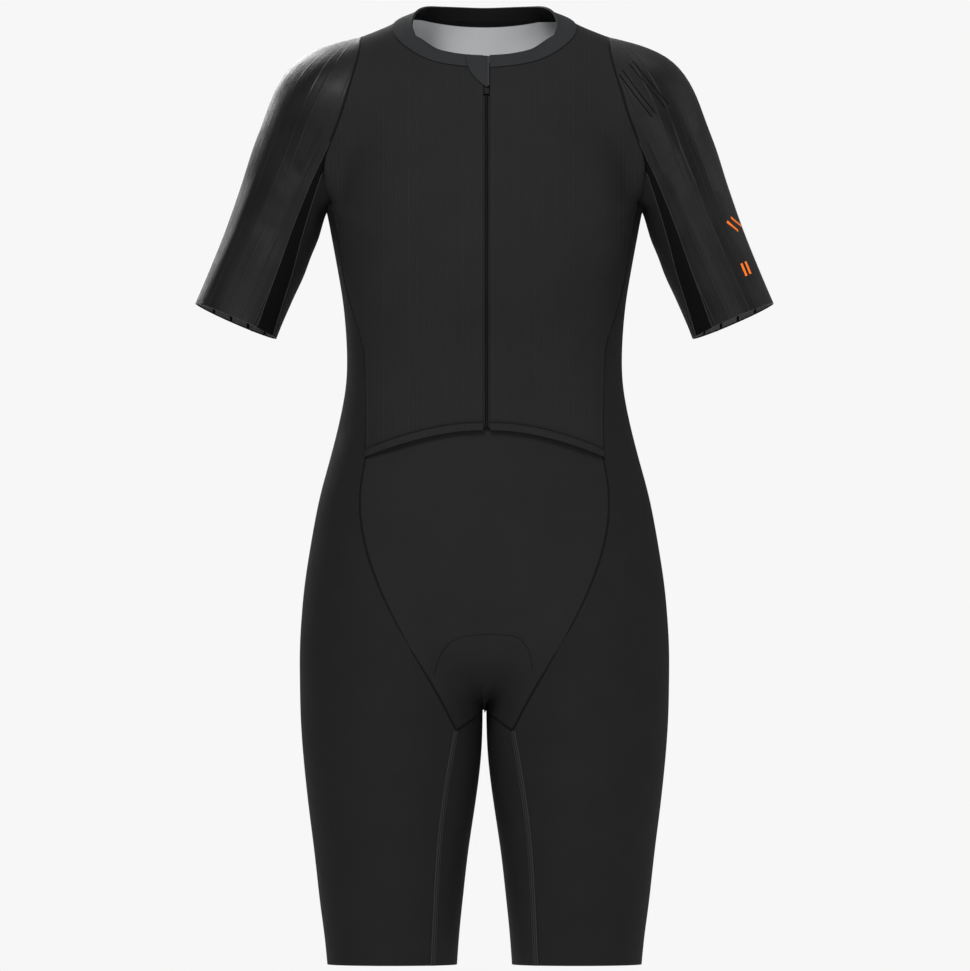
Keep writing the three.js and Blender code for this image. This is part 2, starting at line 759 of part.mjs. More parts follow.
// Side panels, from the underarm down the side and round the outside of the leg
SIDES.forEach(({ name, sign }, s) => {
  const seams = seamSets[s];
  const front = joined(seams.frontSide, seams.frontV, seams.frontInnerLeg);
  const back = joined(seams.backSide, seams.backV, seams.backInnerLeg);
  const hemFront = front[front.length - 1];
  const hemBack = back[back.length - 1];
  const hem = legHem(sign, legAngle(sign, hemFront), 360 + legAngle(sign, hemBack), STEPS.armpit);
  hem[0] = hemFront;
  hem[STEPS.armpit] = hemBack;
  const grid = panelGrid(seams.armpit, hem, front, back);
  add(`side_leg_${name}`, wall(grid, outside, inside), MATERIALS.side);
});

// Inner leg panels
SIDES.forEach(({ name, sign }, s) => {
  const seams = seamSets[s];
  const edges = crotchEdges[s];
  const top = joined(edges.front, reversed(edges.back));
  const front = seams.frontInnerLeg;
  const back = seams.backInnerLeg;
  const hemFront = front[front.length - 1];
  const hemBack = back[back.length - 1];
  const hem = legHem(sign, legAngle(sign, hemFront), legAngle(sign, hemBack), top.length - 1);
  hem[0] = hemFront;
  hem[hem.length - 1] = hemBack;
  const field = oneLegField(sign);
  const grid = panelGrid(top, hem, front, back, field);
  for (const i of [0, top.length - 1]) {
    grid.points.forEach((row, j) => {
      if (j > 0) grid.normals[j][i] = normalOf(suitField, row[i]).normalize();
    });
  }
  add(`inner_leg_${name}`, wall(grid, outside, inside), MATERIALS.short);
});

// Middle line of the front or seat, from its top edge down and under to the crotch
function centreLine(top, facing, steps) {
  const fine = [top];
  const turnZ = -560;
  for (let z = top.z - 10; z > turnZ; z -= 10) fine.push(seen(suitField, 0, z, facing));
  for (let k = 0; k <= SAMPLES; k += 1) {
    const turn = degrees(lerp(0, 90, k / SAMPLES));
    const direction = new THREE.Vector3(0, facing * Math.cos(turn), -Math.sin(turn));
    const start = new THREE.Vector3(0, 0, turnZ).addScaledVector(direction, REACH.body);
    fine.push(cast(suitField, start, direction.negate(), REACH.body));
  }
  return evenly(fine, steps);
}

// Half of a V-shaped panel, between its seam and the middle line; its points hang free
// of the surface in the narrow place where the two legs meet
function halfV(sign, seam, topHalf, middle, crotch) {
  const bottom = [...crotch, middle[middle.length - 1]];
  const points = coons(topHalf, bottom, seam, middle);
  const clearOfCrotch = (p) => Math.max(smoothStep(-650, -630, p.z), smoothStep(5, 22, Math.abs(p.x)));
  const settled = relax(points, suitField, clearOfCrotch);
  const last = settled.length - 1;
  const edgeNormal = (p) => normalOf(oneLegField(sign), p).normalize();
  const normals = settled.map((row) => row.map((p) => normalOf(suitField, p).normalize()));
  normals[last] = bottom.map((p, i) => (i < crotch.length ? edgeNormal(p) : new THREE.Vector3(0, 0, -1)));
  for (let j = 1; j < last; j += 1) {
    for (let i = 1; i < topHalf.length; i += 1) {
      const p = settled[j][i];
      if (clearOfCrotch(p) === 1) continue;
      const across = settled[j][Math.min(i + 1, topHalf.length - 1)].clone().sub(settled[j][i - 1]);
      if (i === topHalf.length - 1) across.set(-sign, 0, 0);
      const down = settled[j + 1][i].clone().sub(settled[j - 1][i]);
      const out = across.cross(down).normalize();
      normals[j][i] = out.z > 0 && out.y * p.y < 0 ? out.negate() : out;
    }
  }
  return { points: settled, normals };
}

// The right and left halves of a panel as one grid
function mirroredHalves(rightHalf, leftHalf) {
  const join = (name) => rightHalf[name].map((row, j) => joined(row, reversed(leftHalf[name][j])));
  return { points: join('points'), normals: join('normals') };
}

// Short front, whose top edge runs behind the jersey hem, and seat
const shortTopHalves = seamSets.map((seams) =>
  arcAcross(seams.frontSide[STEPS.side], 0, SHORT_TOP_CENTRE_Z, STEPS.crotch + 1),
);
const frontMiddle = centreLine(shortTopHalves[0][STEPS.crotch + 1], -1, STEPS.v);
const seatMiddle = centreLine(waistSeam[halfWaist], 1, STEPS.v);
seatMiddle[STEPS.v] = frontMiddle[STEPS.v];
const shortHalves = SIDES.map(({ sign }, s) => {
  shortTopHalves[s][STEPS.crotch + 1] = frontMiddle[0];
  return halfV(sign, seamSets[s].frontV, shortTopHalves[s], frontMiddle, crotchEdges[s].front);
});
const seatHalves = SIDES.map(({ sign }, s) =>
  halfV(sign, seamSets[s].backV, waistHalves[s], seatMiddle, crotchEdges[s].back),
);
const shortGrid = mirroredHalves(...shortHalves);
const seatGrid = mirroredHalves(...seatHalves);

// The seat pad shows through the cloth as a low rise
const middleColumn = STEPS.crotch + 1;
const padTop = STEPS.v - PAD.rows;
const padRise = (j, i) => (j >= padTop && Math.abs(i - middleColumn) <= PAD.columns ? PAD_RELIEF : 0);
add('short_front', wall(shortGrid, padRise, inside), MATERIALS.short);
add('seat', wall(seatGrid, padRise, inside), MATERIALS.short);
for (const [name, grid] of [['front', shortGrid], ['back', seatGrid]]) {
  const crop = (rows) =>
    rows
      .slice(padTop, STEPS.v)
      .map((row) => row.slice(middleColumn - PAD.columns, middleColumn + PAD.columns + 1));
  const padGrid = { points: crop(grid.points), normals: crop(grid.normals) };
  const near = -CLOTH - LAYER_GAP;
  add(`seat_pad_${name}`, wall(padGrid, () => near, () => near - PAD.thickness), MATERIALS.pad);
}

// Sleeves: cuff points by angle from the outer edge (0) round the front (90)
const CUFF_ROW = 4;
function cuffPoint(sign, angle, up = 0) {
  const here = SLEEVE[CUFF_ROW];
  const next = SLEEVE[CUFF_ROW + 1];
  const axis = new THREE.Vector3(sign * (next.x - here.x), next.y - here.y, next.z - here.z).normalize();
  const outward = new THREE.Vector3(-axis.z * sign, 0, axis.x * sign).normalize();
  const frontward = new THREE.Vector3().crossVectors(axis, outward).normalize();
  if (frontward.y > 0) frontward.negate();
  const turn = degrees(angle);
  const direction = outward.multiplyScalar(Math.cos(turn)).addScaledVector(frontward, Math.sin(turn));
  const centre = new THREE.Vector3(sign * here.x, here.y, here.z).addScaledVector(axis, -up);
  return cast(sleeveField, centre.addScaledVector(direction, REACH.sleeve), direction.negate(), REACH.sleeve);
}
function cuffArc(sign, fromAngle, toAngle, steps) {
  const line = [];
  for (let k = 0; k <= steps; k += 1) line.push(cuffPoint(sign, lerp(fromAngle, toAngle, k / steps)));
  return line;
}
function sleeveSeam(from, to) {
  const line = [];
  for (let k = 0; k <= STEPS.sleeve; k += 1) {
    const p = from.clone().lerp(to, k / STEPS.sleeve);
    line.push(k === 0 || k === STEPS.sleeve ? p : settle(suitField, p));
  }
  return line;
}

// Ridges run down the upper side of each sleeve and fade near its edges
const ridgeColumns = 2 * STEPS.armholeTop;
function ridge(j, i) {
  const perRidge = ridgeColumns / (RIDGES_PER_SLEEVE + 1);
  const nearest = Math.round(i / perRidge);
  if (nearest < 1 || nearest > RIDGES_PER_SLEEVE) return 0;
  const onTop = Math.round(nearest * perRidge) === i;
  const fade = smoothStep(0, 1.5, j) * smoothStep(STEPS.sleeve, STEPS.sleeve - 1.5, j);
  return onTop ? RIDGE_HEIGHT * fade : 0;
}

SIDES.forEach(({ name, sign }, s) => {
  const seams = seamSets[s];
  const corners = {
    strip: seams.frontArmholeTop[STEPS.armholeTop],
    under: seams.frontArmholeStrip[STEPS.armholeStrip],
    back: seams.backArmholeTop[STEPS.armholeTop],
  };
  const stripSeam = sleeveSeam(corners.strip, cuffPoint(sign, CUFF_SEAM.strip));
  const underSeam = sleeveSeam(corners.under, cuffPoint(sign, CUFF_SEAM.under));
  const backSeam = sleeveSeam(corners.back, cuffPoint(sign, CUFF_SEAM.back));
  const upperTop = joined(reversed(seams.frontArmholeTop), seams.backArmholeTop);
  const upperCuff = cuffArc(sign, CUFF_SEAM.strip, CUFF_SEAM.back, ridgeColumns);
  const upper = panelGrid(upperTop, upperCuff, stripSeam, backSeam);
  add(`sleeve_upper_${name}`, wall(upper, ridge, inside), MATERIALS.sleeve);

  const stripCuff = cuffArc(sign, CUFF_SEAM.strip, CUFF_SEAM.under, STEPS.armholeStrip);
  const strip = panelGrid(seams.frontArmholeStrip, stripCuff, stripSeam, underSeam);
  add(`sleeve_strip_${name}`, wall(strip, outside, inside), MATERIALS.mesh);

  const underTop = joined(
    seams.frontArmholeLow,
    seams.armpit,
    reversed(seams.backArmholeLow),
    reversed(seams.backArmholeStrip),
  );
  const underCuff = cuffArc(sign, CUFF_SEAM.under, 360 + CUFF_SEAM.back, underTop.length - 1);
  const under = panelGrid(underTop, underCuff, underSeam, backSeam);
  add(`sleeve_under_${name}`, wall(under, outside, inside), MATERIALS.sleeve);

  const columns = GRIP.blocks * 3;
  const ring = { points: [], normals: [] };
  for (const up of [GRIP.start + GRIP.width, GRIP.start]) {
    const row = [];
    for (let i = 0; i < columns; i += 1) row.push(cuffPoint(sign, (i * 360) / columns, up));
    ring.points.push(row);
    ring.normals.push(row.map((p) => normalOf(sleeveField, p).normalize()));
  }
  const near = -CLOTH - 2 * LAYER_GAP;
  const far = (j, i) => near - GRIP.thickness - (i % 3 === 0 ? 0 : GRIP.blockHeight);
  const gripWall = wall(ring, () => near, far, { closed: true, inset: 0 });
  add(`cuff_grip_${name}`, gripWall, MATERIALS.grip);
});

// Neck binding, open at the zip
const bindingSeam = joined(reversed(necklines[0]), backNeck, necklines[1]);
const neckAngle = (p) => (Math.atan2(p.x, NECK.centreY - p.y) * 180) / Math.PI;
const bindingRim = bindingSeam.map((p) => neckPoint(neckAngle(p), 'rim'));
const bindingMiddle = bindingSeam.map((p, i) => settle(trunkField, p.clone().lerp(bindingRim[i], 0.5)));
const bindingPoints = [bindingRim, bindingMiddle, bindingSeam];
const bindingGrid = {
  points: bindingPoints,
  normals: bindingPoints.map((row) => row.map((p) => normalOf(trunkField, p).normalize())),
};
const bindingOut = BINDING_THICKNESS - CLOTH;
add('neck_binding', wall(bindingGrid, () => bindingOut, inside), MATERIALS.binding);

// A patch of the front drawn by its left and right edges at each height
function frontPatch(heights, leftX, rightX, columns) {
  const points = heights.map((z) => {
    const row = [];
    for (let i = 0; i <= columns; i += 1) {
      row.push(seen(suitField, lerp(leftX(z), rightX(z), i / columns), z, -1));
    }
    return row;
  });
  return { points, normals: points.map((row) => row.map((p) => normalOf(suitField, p).normalize())) };
}
const heightsBetween = (from, to, steps) => {
  const heights = [];
  for (let k = 0; k <= steps; k += 1) heights.push(lerp(from, to, k / steps));
  return heights;
};

// Zip tape behind the two fronts
const tapeHeights = heightsBetween(BINDING_FRONT_Z + 6, JERSEY_HEM_CENTRE_Z + 1, 26);
const tapeHalf = ZIP_TAPE_WIDTH / 2;
const tapeGrid = frontPatch(tapeHeights, () => ZIP_CENTRE_X - tapeHalf, () => ZIP_CENTRE_X + tapeHalf, 2);
const tapeLift = (j) => HEM_LIFT * liftedAt(tapeHeights[j]);
const tapeOut = -CLOTH - 2 * LAYER_GAP;
add(
  'zip_tape',
  wall(tapeGrid, (j) => tapeLift(j) + tapeOut, (j) => tapeLift(j) + tapeOut - ZIP_TAPE_THICKNESS),
  MATERIALS.zip,
);

// Shark-fin flap over the top of the zip, and the slider tucked under it
const finHeights = heightsBetween(GARAGE.top, GARAGE.bottom, 8);
const finLeft = (z) => {
  const down = (GARAGE.top - z) / (GARAGE.top - GARAGE.bottom);
  return lerp(GARAGE.left, GARAGE.right - 2, down ** GARAGE.curve);
};
const finGrid = frontPatch(finHeights, finLeft, () => GARAGE.right, 4);
const finIn = BINDING_THICKNESS - CLOTH + LAYER_GAP;
add('zip_garage', wall(finGrid, () => finIn + GARAGE.thickness, () => finIn), MATERIALS.binding);

const sliderHeights = heightsBetween(SLIDER.top, SLIDER.top - SLIDER.height, 4);
const sliderHalf = SLIDER.width / 2;
const sliderGrid = frontPatch(
  sliderHeights,
  () => ZIP_CENTRE_X - sliderHalf,
  () => ZIP_CENTRE_X + sliderHalf,
  2,
);
const sliderIn = tapeOut + LAYER_GAP;
add('zip_slider', wall(sliderGrid, () => sliderIn + SLIDER.thickness, () => sliderIn), MATERIALS.slider);

export default suit;
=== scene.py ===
"""Short-sleeved triathlon suit, dressed on the frame of its CAD panels."""

import math

import bmesh
import bpy
import numpy as np
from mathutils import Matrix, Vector
from mathutils.bvhtree import BVHTree
from mathutils.kdtree import KDTree


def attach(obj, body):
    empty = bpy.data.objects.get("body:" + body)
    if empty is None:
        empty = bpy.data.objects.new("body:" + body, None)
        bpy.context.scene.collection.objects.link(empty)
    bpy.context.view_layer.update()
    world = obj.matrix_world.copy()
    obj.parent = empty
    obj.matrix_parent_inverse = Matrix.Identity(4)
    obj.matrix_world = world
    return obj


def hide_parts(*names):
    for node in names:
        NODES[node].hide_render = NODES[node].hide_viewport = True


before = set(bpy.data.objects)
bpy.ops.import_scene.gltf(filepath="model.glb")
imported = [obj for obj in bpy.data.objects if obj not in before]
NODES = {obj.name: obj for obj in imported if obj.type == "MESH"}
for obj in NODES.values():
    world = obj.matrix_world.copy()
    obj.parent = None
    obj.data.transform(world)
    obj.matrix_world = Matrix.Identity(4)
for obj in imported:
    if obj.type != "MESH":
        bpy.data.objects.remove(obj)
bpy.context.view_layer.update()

bl_info = {
    "name": "Triathlon suit",
    "version": (1, 0, 0),
    "blender": (4, 5, 0),
    "location": "View3D > Sidebar > Suit",
    "description": "Dresses the panels of a triathlon suit with knit, seams and a zip",
    "category": "Object",
}

MM = 0.001
SIDES = ("right", "left")

# Which cloth each panel is cut from, the width and length of its cut, and its flat area
PANELS = {
    "front_right": ("jersey", (0.20, 0.42), 0.061),
    "front_left": ("jersey", (0.20, 0.42), 0.060),
    "back": ("jersey", (0.37, 0.47), 0.130),
    "side_leg_right": ("side", (0.33, 0.76), 0.182),
    "side_leg_left": ("side", (0.33, 0.76), 0.182),
    "inner_leg_right": ("short", (0.20, 0.26), 0.0365),
    "inner_leg_left": ("short", (0.20, 0.26), 0.0365),
    "short_front": ("short", (0.27, 0.34), 0.060),
    "seat": ("short", (0.27, 0.31), 0.052),
    "sleeve_upper_right": ("sleeve", (0.27, 0.31), 0.056),
    "sleeve_upper_left": ("sleeve", (0.27, 0.31), 0.056),
    "sleeve_under_right": ("sleeve_under", (0.12, 0.20), 0.0132),
    "sleeve_under_left": ("sleeve_under", (0.12, 0.20), 0.0132),
    "sleeve_strip_right": ("mesh", (0.027, 0.19), 0.0030),
    "sleeve_strip_left": ("mesh", (0.027, 0.19), 0.0030),
    "neck_binding": ("binding", (0.022, 0.42), 0.0087),
    "front_hem_right": ("jersey", (0.010, 0.13), 0.0011),
    "front_hem_left": ("jersey", (0.010, 0.13), 0.0011),
    "zip_tape": ("tape", (0.016, 0.37), 0.0059),
    "zip_garage": ("binding", (0.022, 0.034), 0.00055),
}
# Each cloth's material slot in the record, and how its grain lies
CLOTHS = {
    "jersey": ("jersey_rib", "upright"),
    "side": ("side_knit", "side"),
    "short": ("side_knit", "upright"),
    "sleeve": ("sleeve_knit", "sleeve"),
    "sleeve_under": ("sleeve_knit", "sleeve"),
    "mesh": ("mesh", "sleeve"),
    "binding": ("binding", "upright"),
    "tape": ("zip_tape", "upright"),
}

# Seams of each kind of stitched band: the two panels, where a star stands for each side
SEAMS = {
    "flatlock": [
        ("side_leg_*", "inner_leg_*"),
    ],
    "narrow": [
        ("side_leg_*", "short_front"),
        ("side_leg_*", "seat"),
        ("side_leg_*", "front_*"),
        ("side_leg_*", "back"),
        ("side_leg_*", "sleeve_under_*"),
        ("inner_leg_*", "short_front"),
        ("inner_leg_*", "seat"),
        ("back", "seat"),
        ("sleeve_upper_*", "front_*"),
        ("sleeve_upper_*", "back"),
        ("sleeve_under_*", "front_*"),
        ("sleeve_under_*", "back"),
        ("sleeve_under_*", "sleeve_upper_*"),
        ("front_*", "back"),
    ],
    "piping": [
        ("sleeve_upper_*", "sleeve_strip_*"),
        ("sleeve_under_*", "sleeve_strip_*"),
    ],
    "binding": [
        ("neck_binding", "front_*"),
        ("neck_binding", "back"),
    ],
}
# Stitched bands: the piece's name, its width and height in millimetres, its finish and slot
BANDS = {
    "flatlock": ("flatlock_seams", (7.0, 0.7), "flatlock", "side_knit"),
    "narrow": ("narrow_seams", (2.3, 0.4), "narrow", "side_knit"),
    "piping": ("piping_seams", (1.1, 0.4), "piping", "side_knit"),
    "binding": ("binding_seam", (1.4, 0.3), "faint", "binding"),
}

# How far apart the edges of two sewn panels may lie
SEAM_REACH = 3.2 * MM
# Section of a stitched band, as shares of its width and height
BAND_PROFILE = [
    (-0.5, -0.6),
    (-0.5, 0.1),
    (-0.36, 0.8),
    (0, 1.0),
    (0.36, 0.8),
    (0.5, 0.1),
    (0.5, -0.6),
]
# Distance between the points of a band, and between those of a printed bar
BAND_STEP = 3 * MM
BAR_STEP = 1.5 * MM
# Distance between the holes of the mesh
MESH_PITCH = 1.6 * MM
# Length of one covering stitch, and how far it slants across a band, as a share of that
STITCH_LENGTH = 2.2 * MM
STITCH_SLANT = 1.5
# Width and height of the drawn lines, in millimetres
PAD_LINE = (1.1, 0.1)
SHOULDER_LINE = (1.0, 0.3)
HEM_LINE = (1.1, 0.4)
BAR = (3.0, 0.15)

# Points of a CAD panel nearer than this are one
MERGE_DISTANCE = 0.02 * MM
# Faces with an edge shorter than this are the narrow ones along a wall's border
WALL_LIMIT = 2.6 * MM
PAD_WALL_LIMIT = 5.6 * MM
# A wall's border turns a corner where its faces meet at more than this angle
CORNER_ANGLE = math.radians(20)
# Cloth and bands are shaded smooth up to these angles
CLOTH_ANGLE = math.radians(50)
BAND_ANGLE = math.radians(60)

# A point on a hem band's upper edge has one further below it than this, and less far across
HEM_REACH = 4 * MM

# Faint outline of the seat pad through the short front, as x and z in millimetres
PAD_OUTLINE = [
    (-49, -628),
    (-45, -612),
    (-36, -598),
    (-22, -590),
    (8, -588),
    (32, -590),
    (43, -602),
    (47, -624),
]
# Raised lines over the cap of the left sleeve, dark as painted shadow beside its ridges, as x and
# z in millimetres
SHOULDER_LINES = [
    [(131, -44), (147, -66), (163, -86)],
    [(134, -40), (150, -62), (166, -82)],
    [(141, -34), (158, -55), (176, -77)],
    [(144, -31), (161, -52), (179, -73)],
]

# The pale inside of the jersey ends at this height, and at this distance from its middle,
# softly over the last length
LINING_END_Z = -338 * MM
LINING_EDGE_X = 128 * MM
LINING_SOFT = 2 * MM
# Lower edge of the dark band behind the collar: its height at the middle, how much higher it is
# at the side, and the distance to there
COLLAR_BAND = (4 * MM, 8 * MM, 68 * MM)

# Zip: the middle of its coil, and where the folded edges of the fronts start and end
ZIP_X = 2.0 * MM
ZIP_TOP_Z = -66 * MM
ZIP_END_Z = -388 * MM
# Folded edges of the fronts beside the zip: distance from its middle, width and height
ZIP_EDGE = (2.6 * MM, 2.4 * MM, 0.3 * MM)
# Light raised line on the right of the zip flap, a painted highlight along its edge: x, top and
# end z, width and height
FLAP_HIGHLIGHT = (3.6 * MM, -27 * MM, -56 * MM, 2.6 * MM, 0.4 * MM)
# Plain printed bars on the left sleeve: x and z of both ends of each, in millimetres
PRINTED_BARS = [
    (236, -187, 247, -196),
    (240, -183, 250, -191),
    (254, -226, 259, -238),
    (250, -228, 255, -240),
]
# Coil of the zip: radius and thickness of a turn, its stretch, how far it stands to each side
# and out of the tape, and how it leans
COIL_RADIUS = 1.0 * MM
COIL_THREAD = 0.32 * MM
COIL_STRETCH = (1.25, 0.55, 0.8)
COIL_ACROSS = 0.8 * MM
COIL_OUT = 0.3 * MM
COIL_LEAN = (0.25, 0.3)

# Colours of the finishes that a user would hardly change
COLOURS = {
    "mesh hole": (0.0006, 0.0006, 0.0006),
    "mesh thread": (0.0048, 0.0048, 0.0050),
    "collar band": (0.0075, 0.0075, 0.0080),
    "inside": (0.0080, 0.0080, 0.0083),
    "pad": (0.0100, 0.0100, 0.0104),
    "tape": (0.0045, 0.0045, 0.0047),
    "rubber gap": (0.0020, 0.0020, 0.0020),
    "dull rubber": (0.0500, 0.0500, 0.0520),
    "light rubber": (0.0750, 0.0750, 0.0770),
    "print": (0.7500, 0.1500, 0.0100),
    "coil": (0.0050, 0.0050, 0.0052),
    "slider": (0.0015, 0.0015, 0.0016),
}
# How much lighter a rib of the jersey and a ridge of the sleeves is painted than its cloth, as a
# painted highlight on their raised tops
RIB_HIGHLIGHT = 1.45
RIDGE_HIGHLIGHT = 2.4
# How far the strengths of two ribs beside each other lie apart in the noise they come from, and
# the scale of the breaks along a rib
RIB_JUMP = 3.7
RIB_BREAKS = 14.0
# Scales of the unevenness: clouds and flecks in a knit, patches in the shine of the sleeves, and
# patches in rubber, lacquer and print
CLOUDS = 26.0
FLECKS = 900.0
SHINE_PATCHES = 18.0
PATCHES = 420.0

# Size of a picture point at the suit, and the middle of the picture in x and z
PICTURE_POINT = 0.975 * MM
PICTURE_CENTRE = (0.0005, -0.444)
PICTURE_WIDTH = 971
# Lamps: name, place, width and height, power; they all point at the middle of the suit
LIGHTS_AIM = (0, 0, -0.42)
LIGHTS = [
    ("key", (-0.9, -3.2, 2.5), (1.4, 1.4), 175),
    ("fill", (1.2, -3.8, -0.3), (2.2, 2.6), 62),
    ("top", (0.4, 0.6, 2.6), (2.4, 2.0), 30),
    ("rim", (2.6, 0.6, 0.2), (0.8, 2.6), 16),
    ("back", (-1.2, 3.4, 1.6), (2.4, 2.4), 150),
]
# The floor, which ends before it would show behind the suit
FLOOR_SIZE = 22
FLOOR_Z = -1.3
# Brightness of the studio as the camera sees it, and as the suit is lit by it
STUDIO_BRIGHTNESS = (0.93, 0.26)
# The camera sees nothing that is further away than this
VIEW_END = 60

# Where the cloth is drawn up under each arm: x and z of the middle, reach across and down,
# and how far outwards and up, all in millimetres
UNDERARM = (149, -187, 12, 14, 2, 12)
# How far the neck binding leans in at the sides of the neck: it starts and is full at these
# distances from the middle of the suit, and from the seam
NECK_LEAN = 8 * MM
NECK_LEAN_ACROSS = (40 * MM, 70 * MM)
NECK_LEAN_AWAY = (2 * MM, 11 * MM)

# How far the fronts and their hem bands are drawn down to the side seam, where they are lifted
# over the short: it starts and is full at these heights below the shoulders, and ends at these
# distances from the seam
SETTLE = 0.95 * MM
SETTLE_DOWN = (295 * MM, 350 * MM)
SETTLE_AWAY = (3 * MM, 14 * MM)

# Middle lines of the body, legs and sleeves, which folds push away from or towards
LEG_CENTRE_X = 0.091
SLEEVE_TOP = np.array((0.149, 0.008, -0.0755))
SLEEVE_AXIS = np.array((0.262, -0.009, -0.329)) - SLEEVE_TOP
CROTCH_Z = -0.661
# The legs part over this height, and the sleeves start at this distance from the middle and are
# full after the second, down to their lowest height
LEGS_PART = 0.12
SLEEVE_STARTS = (0.150, 0.02)
SLEEVE_LOWEST_Z = -0.34
# Radius that the grain of a sleeve, and of a side panel, is laid round, and the latter's middle
SLEEVE_RADIUS = 0.045
SIDE_RADIUS = 0.09
SIDE_CENTRE_X = 0.8 * LEG_CENTRE_X

# A fold pushes this much of its depth up or down, slopes over this share of its width, starts
# at this share of its height, and is full at this distance from the suit's middle plane
FOLD_RISE = 0.3
FOLD_SLOPE = 0.5
FOLD_START = 0.12
FOLD_AWAY = 0.02
# Soft folds on the suit's left side, seen from the front (face -1) or the back (face 1):
# where each starts and ends in x and z, its width and its depth, all in millimetres
FOLDS = [
    (-1, 150, -168, 96, -150, 13, -1.5),
    (-1, 148, -182, 104, -178, 11, 1.0),
    (-1, 146, -196, 92, -206, 15, -1.1),
    (-1, 168, -150, 196, -108, 12, -1.6),
    (-1, 176, -168, 214, -140, 14, 1.2),
    (-1, 186, -196, 226, -176, 12, -1.0),
    (-1, 133, -300, 88, -322, 17, -0.9),
    (-1, 134, -336, 96, -348, 13, 0.8),
    (-1, 146, -404, 124, -372, 14, -1.1),
    (-1, 156, -432, 132, -462, 15, 0.9),
    (-1, 60, -640, 118, -612, 18, -1.0),
    (-1, 52, -664, 108, -668, 15, 0.9),
    (-1, 44, -690, 92, -716, 14, -0.8),
    (1, 150, -172, 84, -140, 16, -1.7),
    (1, 150, -190, 96, -196, 13, 1.2),
    (1, 128, -104, 92, -66, 15, -1.3),
    (1, 176, -160, 214, -128, 14, -1.4),
    (1, 190, -190, 230, -178, 12, 1.0),
    (1, 138, -322, 62, -338, 18, -1.4),
    (1, 140, -356, 76, -352, 14, 1.1),
    (1, 150, -402, 82, -388, 16, -1.2),
    (1, 128, -604, 62, -640, 16, -1.3),
    (1, 110, -660, 48, -652, 13, 1.0),
    (1, 118, -700, 56, -694, 15, -1.0),
]
# How the suit's right side differs from the left: shift across and down, and depth
RIGHT_SIDE = (3, -5, 0.85)


def colour_setting(name, description, default):
    return bpy.props.FloatVectorProperty(
        name=name, description=description, subtype="COLOR", size=3, default=default
    )


def length_setting(name, description, default):
    return bpy.props.FloatProperty(
        name=name, description=description, unit="LENGTH", default=default
    )


class SuitSettings(bpy.types.PropertyGroup):
    """Colours and sizes of the suit's cloth, stitching and zip."""

    jersey: colour_setting(
        "Jersey", "Colour of the ribbed fronts and back", (0.0125, 0.0125, 0.0130)
    )
    side: colour_setting(
        "Side", "Colour of the side and outer leg panels", (0.0105, 0.0105, 0.0109)
    )
    short: colour_setting(
        "Short", "Colour of the short front, seat and inner legs", (0.0118, 0.0118, 0.0122)
    )
    sleeve: colour_setting("Sleeve", "Colour of the ridged sleeves", (0.0060, 0.0060, 0.0062))
    lining: colour_setting("Inside", "Colour of the inside of the jersey", (0.60, 0.615, 0.63))
    binding: colour_setting(
        "Binding", "Colour of the neck binding and the zip flap", (0.0185, 0.0193, 0.0203)
    )
    thread: colour_setting("Thread", "Colour of the stitching", (0.0125, 0.0125, 0.0130))
    rib_spacing: length_setting(
        "Rib spacing", "Distance between the ribs of the jersey", 4.1 * MM
    )
    ridge_spacing: length_setting(
        "Ridge spacing", "Distance between the raised lines of the sleeves", 7.4 * MM
    )
    gripper_block: length_setting(
        "Gripper block", "Length of one rubber block in the cuffs", 16.5 * MM
    )
    loop_size: length_setting("Loop size", "Width of one knitted loop", 0.9 * MM)
    smoothing: bpy.props.IntProperty(
        name="Smoothing",
        description="How often the panels are subdivided",
        default=2,
        min=1,
        max=3,
    )
    tooth_pitch: length_setting(
        "Tooth pitch", "Distance between the turns of the zip's coil", 1.5 * MM
    )
    camera_distance: length_setting(
        "Camera distance", "From the camera to the middle of the suit", 18.0
    )


def settings():
    return bpy.context.scene.suit


# Handling objects


def only(piece):
    """Selects one piece and nothing else."""
    bpy.ops.object.select_all(action="DESELECT")
    piece.select_set(True)
    bpy.context.view_layer.objects.active = piece


def new_object(name, data):
    made = bpy.data.objects.new(name, data)
    bpy.context.scene.collection.objects.link(made)
    return made


def on_whole_mesh(piece, operator, **options):
    """Runs a mesh operator on all of a piece."""
    only(piece)
    bpy.ops.object.mode_set(mode="EDIT")
    bpy.ops.mesh.select_all(action="SELECT")
    operator(**options)
    bpy.ops.object.mode_set(mode="OBJECT")


def points_of(mesh):
    points = np.empty(len(mesh.vertices) * 3)
    mesh.vertices.foreach_get("co", points)
    return points.reshape(-1, 3)


def place_points(mesh, points):
    mesh.vertices.foreach_set("co", points.ravel())
    mesh.update()


# Squaring up the CAD panels


def facing_out(faces):
    """How much of a skin faces away from the middle of the body, leg or sleeve."""
    centres = np.array([face.calc_center_median() for face in faces])
    normals = np.array([face.normal for face in faces])
    areas = np.array([face.calc_area() for face in faces])
    return float((((centres - middle_of(centres)) * normals).sum(axis=1) * areas).sum())


def skins_of(bm, wall):
    """The outer and the inner skin of a wall, which its narrow edge faces keep apart."""
    left = {face for face in bm.faces if min(e.calc_length() for e in face.edges) > wall}
    narrow = [face for face in bm.faces if face not in left]
    groups = []
    while left:
        first = min(left, key=lambda face: face.index)
        left.discard(first)
        group, queue = [], [first]
        while queue:
            face = queue.pop()
            group.append(face)
            for other in {f for edge in face.edges for f in edge.link_faces} & left:
                left.discard(other)
                queue.append(other)
        groups.append(group)
    groups.sort(key=lambda faces: -sum(face.calc_area() for face in faces))
    outer, inner = sorted(groups[:2], key=facing_out, reverse=True)
    points = [{vert for face in group for vert in face.verts} for group in (outer, inner)]
    for face in narrow:
        touched = [any(vert in known for vert in face.verts) for known in points]
        if touched == [True, False]:
            outer.append(face)
        elif touched == [False, True]:
            inner.append(face)
    return outer, inner


